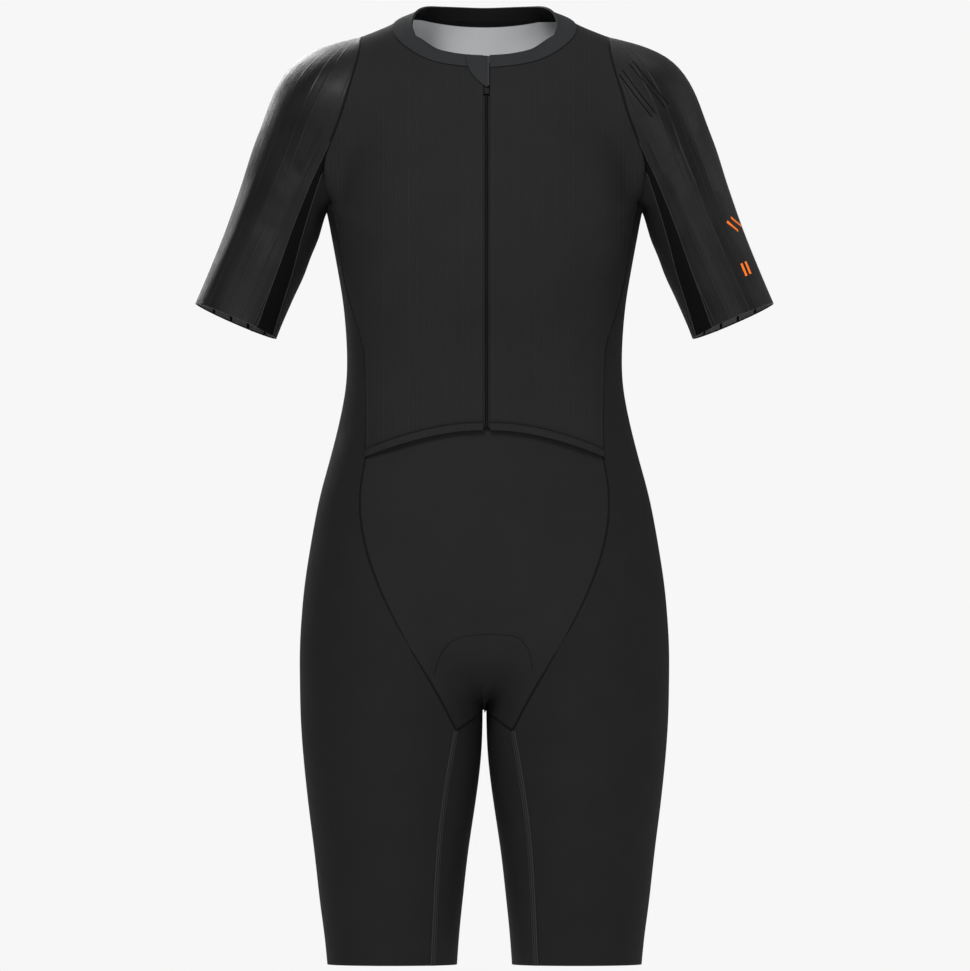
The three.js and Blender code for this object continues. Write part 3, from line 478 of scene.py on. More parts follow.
def other_edge(face, edge, vert):
    return next(e for e in face.edges if e is not edge and vert in e.verts)


def diagonals_of(faces):
    """The diagonals of a grid of triangles, followed outwards from one of its corners."""
    members = set(faces)

    def shared(edge):
        return [face for face in edge.link_faces if face in members]

    ears = [f for f in faces if sum(len(shared(e)) == 1 for e in f.edges) == 2]
    if not ears:
        return []
    ear = ears[0]
    first = next(e for e in ear.edges if len(shared(e)) == 2)
    rims = [e for e in ear.edges if e is not first]
    families = {ear: {first: "across", rims[0]: "u", rims[1]: "v"}}
    queue = [ear]
    while queue:
        face = queue.pop()
        for edge, family in families[face].items():
            for other in shared(edge):
                if other in families:
                    continue
                a, b = edge.verts
                families[other] = {
                    edge: family,
                    other_edge(other, edge, a): families[face][other_edge(face, edge, b)],
                    other_edge(other, edge, b): families[face][other_edge(face, edge, a)],
                }
                queue.append(other)
    across = {e for kinds in families.values() for e, kind in kinds.items() if kind == "across"}
    return [edge for edge in across if len(shared(edge)) == 2]


def square_up(mesh, wall):
    """Joins triangles into squares, creases the edges and marks the inside faces."""
    bm = bmesh.new()
    bm.from_mesh(mesh)
    inside = bm.faces.layers.int.new("inside")
    crease = bm.edges.layers.float.new("crease_edge")
    bm.faces.ensure_lookup_table()
    bm.faces.index_update()
    outer, inner = skins_of(bm, wall)
    for face in bm.faces:
        face[inside] = 2
    for face in outer:
        face[inside] = 0
    for face in inner:
        face[inside] = 1
    for edge in bm.edges:
        kinds = {face[inside] for face in edge.link_faces}
        corner = kinds == {2} and edge.calc_face_angle(0.0) > CORNER_ANGLE
        if len(kinds) > 1 or corner:
            edge[crease] = 1.0
    edges = {edge for skin in (outer, inner) for edge in diagonals_of(skin)}
    bmesh.ops.dissolve_edges(bm, edges=list(edges), use_verts=False)
    bmesh.ops.join_triangles(
        bm,
        faces=[f for f in bm.faces if len(f.verts) == 3],
        cmp_seam=False,
        angle_face_threshold=1.2,
        angle_shape_threshold=1.6,
    )
    bm.to_mesh(mesh)
    bm.free()


def smooth_copy(node, name, levels, wall=WALL_LIMIT):
    """A merged copy of a CAD panel, subdivided into a soft shell with firm edges."""
    piece = new_object(name, NODES[node].data.copy())
    only(piece)
    bpy.ops.mesh.customdata_custom_splitnormals_clear()
    on_whole_mesh(piece, bpy.ops.mesh.remove_doubles, threshold=MERGE_DISTANCE)
    square_up(piece.data, wall)
    modifier = piece.modifiers.new("Soft", "SUBSURF")
    modifier.levels = levels
    modifier.render_levels = levels
    modifier.boundary_smooth = "PRESERVE_CORNERS"
    bpy.ops.object.modifier_apply(modifier="Soft")
    bpy.ops.object.shade_smooth_by_angle(angle=CLOTH_ANGLE)
    return piece


# Folds


def mirrored(points):
    """The side each point is on, and the points with both sides laid on the left one."""
    side = np.where(points[:, 0] < 0, -1.0, 1.0)
    laid = points.copy()
    laid[:, 0] *= side
    return side, laid


def unit(directions):
    return directions / np.linalg.norm(directions, axis=1)[:, None]


def middle_of(points):
    """The point of the body's, leg's or sleeve's middle line beside each point."""
    side, laid = mirrored(points)
    middle = np.zeros_like(points)
    middle[:, 2] = points[:, 2]
    leg = np.clip((CROTCH_Z + LEGS_PART / 2 - points[:, 2]) / LEGS_PART, 0, 1)
    middle[:, 0] = side * LEG_CENTRE_X * leg
    along = (laid - SLEEVE_TOP) @ SLEEVE_AXIS / (SLEEVE_AXIS @ SLEEVE_AXIS)
    sleeve = SLEEVE_TOP + np.clip(along, 0, 1)[:, None] * SLEEVE_AXIS
    sleeve[:, 0] *= side
    start, reach = SLEEVE_STARTS
    share = np.clip((laid[:, 0] - start) / reach, 0, 1)
    share[points[:, 2] < SLEEVE_LOWEST_Z] = 0
    return middle + (sleeve - middle) * share[:, None]


def fold(points):
    """Points moved by the soft folds that reach them."""
    out = points - middle_of(points)
    out[:, 2] *= FOLD_RISE
    out = unit(out)
    push = np.zeros(len(points))
    flat = points[:, [0, 2]] / MM
    face = np.where(points[:, 1] < 0, -1, 1)
    for side in (1, -1):
        for facing, x0, z0, x1, z1, width, depth in FOLDS:
            across, down, share = (0, 0, 1) if side > 0 else RIGHT_SIDE
            start = np.array([side * (x0 + across), z0 + down])
            end = np.array([side * (x1 + across), z1 + down])
            line = end - start
            along = (flat - start) @ line / (line @ line)
            near = start + np.clip(along, 0, 1)[:, None] * line
            distance = np.linalg.norm(flat - near, axis=1)
            ends = FOLD_START + (1 - 2 * FOLD_START) * np.clip(along, 0, 1)
            bump = np.exp(-((distance / (FOLD_SLOPE * width)) ** 2)) * np.sin(np.pi * ends) ** 2
            away = np.clip(np.abs(points[:, 1]) / FOLD_AWAY, 0, 1)
            push += np.where(face == facing, bump * depth * share * away, 0)
    moved = points + out * (push * MM)[:, None]
    x, z, reach, drop, outwards, up = (value * MM for value in UNDERARM)
    side, laid = mirrored(points)
    near = np.exp(-(((laid[:, 0] - x) / reach) ** 2) - ((laid[:, 2] - z) / drop) ** 2)
    moved[:, 0] += side * near * outwards
    moved[:, 2] += near * up
    return moved


def ramp(value, low, high):
    share = np.clip((value - low) / (high - low), 0, 1)
    return share * share * (3 - 2 * share)


def tree_of(points):
    tree = KDTree(len(points))
    for index, point in enumerate(points):
        tree.insert(point, index)
    tree.balance()
    return tree


def distance_from(points, *panels):
    """How far points lie from the edges of some panels."""
    edges = [outer_border(PIECES[f"{panel}_cloth"])[0].values() for panel in panels]
    tree = tree_of([point for edge in edges for point in edge])
    return np.array([tree.find(point)[2] for point in points])


def settle(points, side):
    """Points of a front or hem band, drawn down to the side panel that it is sewn to."""
    out = unit(points - middle_of(points))
    away = distance_from(points, f"side_leg_{side}")
    share = ramp(-points[:, 2], *SETTLE_DOWN) * (1 - ramp(away, *SETTLE_AWAY))
    return points - out * (share * SETTLE)[:, None]


def lean_in(points):
    """The neck binding's points, leaning in at the sides of the neck."""
    away = distance_from(points, "front_right", "front_left", "back")
    share = ramp(np.abs(points[:, 0]), *NECK_LEAN_ACROSS) * ramp(away, *NECK_LEAN_AWAY)
    moved = points.copy()
    moved[:, 0] -= np.sign(points[:, 0]) * share * NECK_LEAN
    return moved


# Grain of the cloth


def write_grain(mesh, u, v):
    """Writes a map in metres that is given for each point of the mesh."""
    layer = mesh.uv_layers.new(name="grain")
    corners = np.empty(len(mesh.loops), dtype=int)
    mesh.loops.foreach_get("vertex_index", corners)
    layer.data.foreach_set("uv", np.stack([u[corners], v[corners]], axis=1).ravel())


def lay_grain(piece, kind):
    """Lays a map in metres over the cloth: across its ribs, and along them."""
    points = points_of(piece.data)
    _, laid = mirrored(points)
    if kind == "sleeve":
        axis = SLEEVE_AXIS / np.linalg.norm(SLEEVE_AXIS)
        local = laid - SLEEVE_TOP
        outward = np.array([-axis[2], 0, axis[0]])
        frontward = np.cross(axis, outward)
        u = np.arctan2(local @ frontward, local @ outward) * SLEEVE_RADIUS
        v = local @ axis
    elif kind == "side":
        u = np.arctan2(points[:, 1], laid[:, 0] - SIDE_CENTRE_X) * SIDE_RADIUS
        v = points[:, 2]
    else:
        u, v = points[:, 0], points[:, 2]
    write_grain(piece.data, u, v)


# Node groups shared by the cloths


def socket(group, name, direction, kind, default=None):
    made = group.interface.new_socket(name, in_out=direction, socket_type=kind)
    if default is not None:
        made.default_value = default


def opaque(colour, brightness=1):
    """A colour made lighter or darker, as a socket takes it."""
    return (*[part * brightness for part in colour], 1)


class Wiring:
    """Adds nodes to a tree and links them as they are made."""

    def __init__(self, tree):
        self.tree = tree
        self.nodes = tree.nodes

    def link(self, value, target):
        if isinstance(value, bpy.types.NodeSocket):
            self.tree.links.new(value, target)
        else:
            target.default_value = value

    def split(self, vector):
        node = self.nodes.new("ShaderNodeSeparateXYZ")
        self.link(vector, node.inputs[0])
        return node.outputs

    def math(self, operation, a, b=0.0, c=0.0):
        node = self.nodes.new("ShaderNodeMath")
        node.operation = operation
        for value, target in zip((a, b, c), node.inputs):
            self.link(value, target)
        return node.outputs[0]

    def humps(self, value, count=1):
        """Rounded humps, so many of them over each step of the value."""
        turn = self.math("MULTIPLY", value, count * math.pi)
        return self.math("ABSOLUTE", self.math("SINE", turn))

    def mix(self, factor, a, b):
        node = self.nodes.new("ShaderNodeMix")
        node.data_type = "RGBA"
        self.link(factor, node.inputs["Factor"])
        self.link(a, node.inputs["A"])
        self.link(b, node.inputs["B"])
        return node.outputs["Result"]

    def noise(self, vector, scale, detail=2.0, dimensions="3D"):
        node = self.nodes.new("ShaderNodeTexNoise")
        node.noise_dimensions = dimensions
        self.link(vector, node.inputs["W" if dimensions == "1D" else "Vector"])
        node.inputs["Scale"].default_value = scale
        node.inputs["Detail"].default_value = detail
        return node.outputs["Fac"]

    def spread(self, value, low, high, to_low=0.0, to_high=1.0):
        node = self.nodes.new("ShaderNodeMapRange")
        node.interpolation_type = "SMOOTHSTEP"
        for given, name in (
            (value, "Value"),
            (low, "From Min"),
            (high, "From Max"),
            (to_low, "To Min"),
            (to_high, "To Max"),
        ):
            self.link(given, node.inputs[name])
        return node.outputs["Result"]


def new_group(name, inputs, outputs):
    group = bpy.data.node_groups.new(name, "ShaderNodeTree")
    for label, kind, default in inputs:
        socket(group, label, "INPUT", kind, default)
    for label, kind in outputs:
        socket(group, label, "OUTPUT", kind)
    wiring = Wiring(group)
    start = group.nodes.new("NodeGroupInput")
    end = group.nodes.new("NodeGroupOutput")
    return group, wiring, start.outputs, end.inputs


def knit_group():
    """Rows of fine knitted loops with a slight unevenness of colour, and painted shade between the
    loops.
    """
    group, w, given, made = new_group(
        "Fine knit",
        [
            ("Grain", "NodeSocketVector", None),
            ("Place", "NodeSocketVector", None),
            ("Colour", "NodeSocketColor", (0.02, 0.02, 0.02, 1)),
            ("Loop size", "NodeSocketFloat", 0.0009),
            ("Unevenness", "NodeSocketFloat", 0.2),
        ],
        [("Colour", "NodeSocketColor"), ("Height", "NodeSocketFloat")],
    )
    across, along, _ = w.split(given["Grain"])
    columns = w.math("DIVIDE", across, given["Loop size"])
    rows = w.math("DIVIDE", along, given["Loop size"])
    wale = w.humps(columns)
    shifted = w.math("ADD", rows, w.math("MULTIPLY", w.math("PINGPONG", columns, 0.5), 0.9))
    course = w.humps(shifted)
    height = w.math("MULTIPLY", wale, w.math("MULTIPLY_ADD", course, 0.55, 0.45))
    cloudy = w.noise(given["Place"], CLOUDS, 3.0)
    flecks = w.noise(given["Place"], FLECKS, 1.0)
    uneven = w.math("ADD", w.math("MULTIPLY", cloudy, 0.65), w.math("MULTIPLY", flecks, 0.35))
    centred = w.math("MULTIPLY", w.math("SUBTRACT", uneven, 0.5), given["Unevenness"])
    # Lighter on the loops and darker between them: painted shade in the knit's hollows
    loops = w.math("MULTIPLY", w.math("SUBTRACT", height, 0.5), 0.22)
    shade = w.math("ADD", 1.0, w.math("ADD", w.math("MULTIPLY", centred, 2.0), loops))
    shaded = w.nodes.new("ShaderNodeVectorMath")
    shaded.operation = "SCALE"
    w.link(given["Colour"], shaded.inputs[0])
    w.link(shade, shaded.inputs["Scale"])
    w.link(shaded.outputs[0], made["Colour"])
    w.link(height, made["Height"])
    return group


def rib_group():
    """Long ribs that run down the cloth, some of them stronger than others."""
    group, w, given, made = new_group(
        "Ribs",
        [
            ("Grain", "NodeSocketVector", None),
            ("Spacing", "NodeSocketFloat", 0.004),
            ("Sharpness", "NodeSocketFloat", 4.0),
        ],
        [("Height", "NodeSocketFloat")],
    )
    across, _, _ = w.split(given["Grain"])
    place = w.math("DIVIDE", across, given["Spacing"])
    turn = w.math("MULTIPLY", place, 2 * math.pi)
    wave = w.math("MULTIPLY_ADD", w.math("COSINE", turn), 0.5, 0.5)
    rib = w.math("POWER", wave, given["Sharpness"])
    own = w.noise(w.math("MULTIPLY", w.math("ROUND", place), RIB_JUMP), 1.0, 0.0, "1D")
    broken = w.noise(given["Grain"], RIB_BREAKS)
    own = w.spread(own, 0.3, 0.7, 0.2, 1.0)
    broken = w.spread(broken, 0.3, 0.6, 0.2, 1.0)
    w.link(w.math("MULTIPLY", rib, w.math("MULTIPLY", own, broken)), made["Height"])
    return group


GROUPS = {}


def shared_group(name, build):
    if name not in GROUPS:
        GROUPS[name] = build()
    return GROUPS[name]


class Cloth:
    """One cloth's material, with its knit group in place and its shader still to feed."""

    def __init__(self, name, roughness, sheen=0.0, specular=0.03):
        self.material = bpy.data.materials.new(name)
        self.material.use_nodes = True
        self.w = Wiring(self.material.node_tree)
        self.shader = self.w.nodes["Principled BSDF"]
        self.shader.inputs["Roughness"].default_value = roughness
        self.shader.inputs["Specular IOR Level"].default_value = specular
        self.shader.inputs["Sheen Weight"].default_value = sheen
        place = self.w.nodes.new("ShaderNodeTexCoord")
        self.place = place.outputs["Object"]
        self.grain = place.outputs["UV"]

    def group(self, group, **values):
        node = self.w.nodes.new("ShaderNodeGroup")
        node.node_tree = group
        for name, value in values.items():
            self.w.link(value, node.inputs[name.replace("_", " ")])
        return node.outputs

    def knit(self, colour, loop=None, unevenness=0.2):
        return self.group(
            shared_group("knit", knit_group),
            Grain=self.grain,
            Place=self.place,
            Colour=opaque(colour),
            Loop_size=loop or settings().loop_size,
            Unevenness=unevenness,
        )

    def ribbed(self, knit, spacing, sharpness, light, shares):
        """Colour and height of a knit with ribs, from its shares of brightness, rib and loop; the
        brightness is a painted highlight on the ribs.
        """
        ribs = self.group(
            shared_group("ribs", rib_group),
            Grain=self.grain,
            Spacing=spacing,
            Sharpness=sharpness,
        )["Height"]
        bright, rib, loop = shares
        # Painted highlight: the colour grows lighter where the ribs stand highest
        colour = self.w.mix(self.w.math("MULTIPLY", ribs, bright), knit["Colour"], light)
        loops = self.w.math("MULTIPLY", knit["Height"], loop)
        return colour, self.w.math("MULTIPLY_ADD", ribs, rib, loops)

    def finish(self, colour, height, depth, roughness=None):
        self.w.link(colour, self.shader.inputs["Base Color"])
        bump = self.w.nodes.new("ShaderNodeBump")
        bump.inputs["Distance"].default_value = depth
        bump.inputs["Strength"].default_value = 1.0
        self.w.link(height, bump.inputs["Height"])
        self.w.link(bump.outputs["Normal"], self.shader.inputs["Normal"])
        if roughness is not None:
            self.w.link(roughness, self.shader.inputs["Roughness"])
        return self.material


def jersey_cloth():
    cloth = Cloth("Ribbed jersey", 0.72)
    knit = cloth.knit(settings().jersey, unevenness=0.16)
    # The ribs' lighter colour is a painted highlight on their raised tops
    light = opaque(settings().jersey, RIB_HIGHLIGHT)
    ribbed = cloth.ribbed(knit, settings().rib_spacing, 7.0, light, (0.55, 0.8, 0.35))
    return cloth.finish(*ribbed, 0.3 * MM)


def plain_cloth(name, colour, roughness, loop=None, uneven=0.18, depth=0.12 * MM, sheen=0.0):
    cloth = Cloth(name, roughness, sheen)
    knit = cloth.knit(colour, loop, uneven)
    return cloth.finish(knit["Colour"], knit["Height"], depth)


def sleeve_cloth():
    """Darker cloth with a soft shine, and a painted highlight along its fine raised lines."""
    cloth = Cloth("Ridged sleeve", 0.42, specular=0.12)
    knit = cloth.knit(settings().sleeve, 0.8 * MM, 0.55)
    # The ridges' lighter colour is a painted highlight along them
    light = opaque(settings().sleeve, RIDGE_HIGHLIGHT)
    ribbed = cloth.ribbed(knit, settings().ridge_spacing, 22.0, light, (0.6, 1.0, 0.12))
    patches = cloth.w.noise(cloth.place, SHINE_PATCHES, 3.0)
    roughness = cloth.w.spread(patches, 0.35, 0.65, 0.34, 0.55)
    return cloth.finish(*ribbed, 0.5 * MM, roughness)


def mesh_cloth():
    """Open mesh: rows of small dark holes."""
    cloth = Cloth("Open mesh", 0.8)
    holes = cloth.w.nodes.new("ShaderNodeTexVoronoi")
    holes.inputs["Randomness"].default_value = 0.0
    holes.inputs["Scale"].default_value = 1 / MESH_PITCH
    cloth.w.link(cloth.grain, holes.inputs["Vector"])
    thread = cloth.w.spread(holes.outputs["Distance"], 0.22, 0.42)
    ends = (opaque(COLOURS["mesh hole"]), opaque(COLOURS["mesh thread"]))
    colour = cloth.w.mix(thread, *ends)
    return cloth.finish(colour, thread, 0.35 * MM)


def lining_cloth():
    """Pale grey inside of the jersey, with the dark band behind the collar."""
    cloth = Cloth("Pale inside", 0.85)
    knit = cloth.knit(settings().lining, unevenness=0.1)
    w = cloth.w
    x, _, z = w.split(cloth.place)
    start, rise, reach = COLLAR_BAND
    across = w.math("DIVIDE", x, reach)
    edge = w.math("MULTIPLY_ADD", w.math("MULTIPLY", across, across), rise, start)
    band = w.spread(w.math("SUBTRACT", z, edge), -0.2 * MM, 0.2 * MM)
    low = w.spread(z, LINING_END_Z, LINING_END_Z + LINING_SOFT, 1.0, 0.0)
    sides = w.spread(w.math("ABSOLUTE", x), LINING_EDGE_X, LINING_EDGE_X + LINING_SOFT)
    dark = w.math("MAXIMUM", band, w.math("MAXIMUM", low, sides))
    colour = w.mix(dark, knit["Colour"], opaque(COLOURS["collar band"]))
    return cloth.finish(colour, knit["Height"], 0.15 * MM)


def thread_cloth(name, brightness, rows, sharpness=1.0, groove_shade=0.45):
    """Rows of covering stitches along a seam, whose map runs across and along it, darker between
    the rows as painted shade and lighter on their tops as a painted highlight.
    """
    cloth = Cloth(name, 0.6)
    w = cloth.w
    across, along, _ = w.split(cloth.grain)
    ridge = w.math("POWER", w.humps(across, rows), sharpness)
    slant = w.math("MULTIPLY", across, STITCH_SLANT)
    step = w.math("ADD", w.math("DIVIDE", along, STITCH_LENGTH), slant)
    stitch = w.math("SINE", w.math("MULTIPLY", step, 2 * math.pi))
    height = w.math("MULTIPLY", ridge, w.math("MULTIPLY_ADD", stitch, 0.3, 0.7))
    # The dark ground between the rows is painted shade, the light raised tops a painted highlight
    dark = opaque(settings().thread, brightness * groove_shade)
    light = opaque(settings().thread, brightness)
    return cloth.finish(w.mix(height, dark, light), height, 0.25 * MM)


def hard_finish(name, colour, roughness):
    """Lacquer, zip coil or print with a faint unevenness in its shine."""
    cloth = Cloth(name, roughness, specular=0.12)
    patches = cloth.w.noise(cloth.place, PATCHES, 3.0)
    shade = cloth.w.mix(patches, opaque(colour, 0.8), opaque(colour, 1.2))
    rough = cloth.w.spread(patches, 0.3, 0.7, roughness * 0.85, roughness * 1.15)
    return cloth.finish(shade, patches, 0.03 * MM, rough)


def gripper_rubber():
    """Matt rubber in blocks, with dark gaps between them."""
    cloth = Cloth("Gripper rubber", 0.6)
    x, _, _ = cloth.w.split(cloth.place)
    along = cloth.w.math("PINGPONG", x, settings().gripper_block / 2)
    block = cloth.w.spread(along, 0.9 * MM, 1.3 * MM)
    patches = cloth.w.noise(cloth.place, PATCHES, 3.0)
    tones = (opaque(COLOURS["dull rubber"]), opaque(COLOURS["light rubber"]))
    colour = cloth.w.mix(block, opaque(COLOURS["rubber gap"]), cloth.w.mix(patches, *tones))
    return cloth.finish(colour, block, 0.4 * MM)


MATERIALS = {}
RECIPES = {
    "jersey": jersey_cloth,
    "side": lambda: plain_cloth("Side knit", settings().side, 0.6),
    "short": lambda: plain_cloth("Short knit", settings().short, 0.66),
    "sleeve": sleeve_cloth,
    "sleeve_under": lambda: plain_cloth("Under sleeve knit", settings().side, 0.55),
    "mesh": mesh_cloth,
    "lining": lining_cloth,
    "binding": lambda: plain_cloth(
        "Soft binding", settings().binding, 0.7, 0.6 * MM, 0.12, 0.08 * MM
    ),
    "tape": lambda: plain_cloth("Zip tape", COLOURS["tape"], 0.75, 0.7 * MM, 0.1, 0.1 * MM),
    "dark_inside": lambda: plain_cloth("Dark inside", COLOURS["inside"], 0.8),
    "pad": lambda: plain_cloth("Brushed pad", COLOURS["pad"], 0.9, 1.4 * MM, sheen=0.05),
    "flatlock": lambda: thread_cloth("Flatlock stitches", 3.0, 3, 7.0, 0.28),
    # Darker than the cloth: painted shade in the seam's groove
    "narrow": lambda: thread_cloth("Seam stitches", 0.6, 2),
    "faint": lambda: thread_cloth("Faint seam line", 0.85, 1),
    # Lighter than the thread; on the zip flap it is a painted highlight along the flap's edge
    "piping": lambda: thread_cloth("Light seam line", 2.6, 1),
    # Near black: painted shadow beside the ridges on the sleeve's cap
    "painted_shadow_line": lambda: thread_cloth("Raised line in painted shadow", 0.15, 1),
    "print": lambda: hard_finish("Plain orange print", COLOURS["print"], 0.6),
    "coil": lambda: hard_finish("Zip coil", COLOURS["coil"], 0.5),
    "slider": lambda: hard_finish("Slider lacquer", COLOURS["slider"], 0.35),
    "gripper": gripper_rubber,
}


def finish_of(name):
    if name not in MATERIALS:
        MATERIALS[name] = RECIPES[name]()
    return MATERIALS[name]


def wear(piece, *finishes):
    """Gives a piece its finishes in place of those it has."""
    piece.data.materials.clear()
    for finish in finishes:
        piece.data.materials.append(finish_of(finish))


def refinish(node, finish):
    """Gives a CAD node whose shape is right a better material."""
    for slot in NODES[node].material_slots:
        slot.material = finish_of(finish)


# Making the pieces


def face_sides(mesh):
    sides = np.zeros(len(mesh.polygons), dtype=int)
    mesh.attributes["inside"].data.foreach_get("value", sides)
    return sides


def paint_sides(piece, outside, inside):
    """The outside cloth goes on the outer skin and the edges, the inside cloth within."""
    wear(piece, outside, inside)
    sides = (face_sides(piece.data) == 1).astype(int)
    piece.data.polygons.foreach_set("material_index", sides)


PIECES = {}


def keep(piece, slot_name, *nodes):
    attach(piece, "root")
    if nodes:
        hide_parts(*nodes)
    PIECES[piece.name] = piece


def dress_panel(node, inside="dark_inside", levels=None):
    """Makes one panel of the suit from its CAD solid."""
    cloth, flat, area = PANELS[node]
    slot_name, grain = CLOTHS[cloth]
    piece = smooth_copy(node, f"{node}_cloth", levels or settings().smoothing)
    place_points(piece.data, fold(points_of(piece.data)))
    lay_grain(piece, grain)
    paint_sides(piece, cloth, inside)
    keep(piece, slot_name, node)
    return piece


# Seams


def outer_border(piece):
    """Border points of the outer skin in order, with the directions the skin faces there."""
    bm = bmesh.new()
    bm.from_mesh(piece.data)
    inside = bm.faces.layers.int["inside"]
    points, facing, links = {}, {}, []
    for edge in bm.edges:
        kinds = sorted(face[inside] for face in edge.link_faces)
        if kinds != [0, 2]:
            continue
        outer = next(face for face in edge.link_faces if face[inside] == 0)
        for vert in edge.verts:
            points[vert.index] = vert.co.copy()
            facing[vert.index] = facing.get(vert.index, Vector()) + outer.normal
        links.append(tuple(vert.index for vert in edge.verts))
    bm.free()
    return points, facing, links


def chains(keys, links):
    """Runs of linked points, each in order from one end to the other."""
    beside = {key: [] for key in keys}
    for a, b in links:
        if a in beside and b in beside:
            beside[a].append(b)
            beside[b].append(a)
    runs, left = [], set(keys)
    while left:
        ends = [key for key in sorted(left) if len([n for n in beside[key] if n in left]) <= 1]
        here = (ends or sorted(left))[0]
        run = []
        while here is not None:
            run.append(here)
            left.discard(here)
            here = next((n for n in beside[here] if n in left), None)
        runs.append(run)
    return runs


def lengths_along(line):
    """How far each point of a line lies from its start."""
    return np.concatenate([[0], np.cumsum(np.linalg.norm(np.diff(line, axis=0), axis=1))])


def stepped(rows, lengths, at):
    """Rows that are given at some lengths, at other lengths."""
    return np.stack([np.interp(at, lengths, row) for row in rows.T], axis=1)


def even_line(line, facing, step=BAND_STEP):
    """Points and directions along a line at even steps, with its corners rounded."""
    line, facing = np.array(line), np.array(facing)
    for _ in range(3):
        for rows in (line, facing):
            rows[1:-1] = (rows[:-2] + 2 * rows[1:-1] + rows[2:]) / 4
    lengths = lengths_along(line)
    count = max(2, round(lengths[-1] / step))
    at = np.linspace(0, lengths[-1], count + 1)
    return stepped(line, lengths, at), unit(stepped(facing, lengths, at)), at


def band_along(line, facing, at, width, height):
    """A low rounded band that follows a line on the cloth."""
    across = unit(np.cross(unit(np.gradient(line, axis=0)), facing))
    rows = [line + across * (x * width) + facing * (z * height) for x, z in BAND_PROFILE]
    verts = np.stack(rows, axis=1).reshape(-1, 3)
    count = len(BAND_PROFILE)
    faces = []
    for i in range(len(line) - 1):
        for k in range(count):
            a = i * count + k
            b = i * count + (k + 1) % count
            faces.append((a, a + count, b + count, b))
    faces.append(tuple(range(count)))
    faces.append(tuple(reversed(range((len(line) - 1) * count, len(line) * count))))
    mesh = bpy.data.meshes.new("band")
    mesh.from_pydata(verts.tolist(), [], faces)
    write_grain(mesh, np.tile([x + 0.5 for x, _ in BAND_PROFILE], len(line)), np.repeat(at, count))
    return new_object("band", mesh)


def face_outwards(piece):
    on_whole_mesh(piece, bpy.ops.mesh.normals_make_consistent, inside=False)
    bpy.ops.object.shade_smooth_by_angle(angle=BAND_ANGLE)


def joined(name, parts):
    bpy.ops.object.select_all(action="DESELECT")
    for part in parts:
        part.select_set(True)
    bpy.context.view_layer.objects.active = parts[0]
    if len(parts) > 1:
        bpy.ops.object.join()
    parts[0].name = name
    return parts[0]


def drawn(edge, size):
    """A band along an edge, from its width and height in millimetres."""
    width, height = size
    return band_along(*edge, width * MM, height * MM)


def seam_bands(first, second, size):
    """Stitched bands over the seam between two panels, found where their edges meet."""
    points, facing, links = outer_border(PIECES[f"{first}_cloth"])
    others, other_facing, _ = outer_border(PIECES[f"{second}_cloth"])
    keys = list(others)
    tree = tree_of([others[key] for key in keys])
    met = {}
    for key, point in points.items():
        near, index, distance = tree.find(point)
        if distance < SEAM_REACH:
            met[key] = ((point + near) / 2, facing[key] + other_facing[keys[index]])
    bands = []
    for run in chains(met, links):
        if len(run) < 3:
            continue
        edge = even_line([met[k][0] for k in run], [met[k][1] for k in run])
        bands.append(drawn(edge, size))
    return bands


def hem_edge(piece):
    """The upper edge of a hem band, from left to right."""
    points, facing, _ = outer_border(piece)

    def above(point, other):
        return abs(other.x - point.x) < HEM_REACH and point.z - other.z > HEM_REACH

    keys = [key for key in points if any(above(points[key], other) for other in points.values())]
    keys.sort(key=lambda key: points[key].x)
    return even_line([points[k] for k in keys], [facing[k] for k in keys])


def surface_of(*pieces):
    points, faces = [], []
    for piece in pieces:
        start = len(points)
        points += [vert.co for vert in piece.data.vertices]
        faces += [[start + index for index in face.vertices] for face in piece.data.polygons]
    return BVHTree.FromPolygons(points, faces)


def front_of(surface, x, z):
    """The point and direction of a surface's front at x and z."""
    return surface.ray_cast(Vector((x, -1, z)), Vector((0, 1, 0)))[:2]


def draped(surface, *path, step=BAND_STEP):
    """A path through points in x and z, laid on the front of a surface."""
    path = np.array(path)
    lengths = lengths_along(path)
    at = np.linspace(0, lengths[-1], max(4, round(lengths[-1] / step) + 1))
    line, facing = [], []
    for x, z in stepped(path, lengths, at):
        place, normal = front_of(surface, x, z)
        if place is not None:
            line.append(place)
            facing.append(normal if normal.y < 0 else -normal)
    return even_line(line, facing, step)


def finished_bands(name, bands, finish, slot_name):
    piece = joined(name, bands)
    wear(piece, finish)
    face_outwards(piece)
    keep(piece, slot_name)


class SUIT_OT_fronts(bpy.types.Operator):
    """Two jersey fronts with their hem bands"""

    bl_idname = "suit.fronts"
    bl_label = "Fronts"

    def execute(self, context):
        for side in SIDES:
            dress_panel(f"front_{side}", "lining")
            dress_panel(f"front_hem_{side}", "jersey")
        return {"FINISHED"}


class SUIT_OT_back(bpy.types.Operator):
    """Back of the jersey"""

    bl_idname = "suit.back"
    bl_label = "Back"

    def execute(self, context):
        dress_panel("back", "lining")
        return {"FINISHED"}


class SUIT_OT_sides(bpy.types.Operator):
    """Side panels, which run on round the outside of the legs"""

    bl_idname = "suit.sides"
    bl_label = "Side panels"

    def execute(self, context):
        for side in SIDES:
            dress_panel(f"side_leg_{side}")
            for sewn in ("front", "front_hem"):
                mesh = PIECES[f"{sewn}_{side}_cloth"].data
                place_points(mesh, settle(points_of(mesh), side))
        return {"FINISHED"}


class SUIT_OT_shorts(bpy.types.Operator):
    """Short front, seat and inner leg panels"""

    bl_idname = "suit.shorts"
    bl_label = "Shorts"

    def execute(self, context):
        for node in ("short_front", "seat", "inner_leg_right", "inner_leg_left"):
            dress_panel(node)
        return {"FINISHED"}


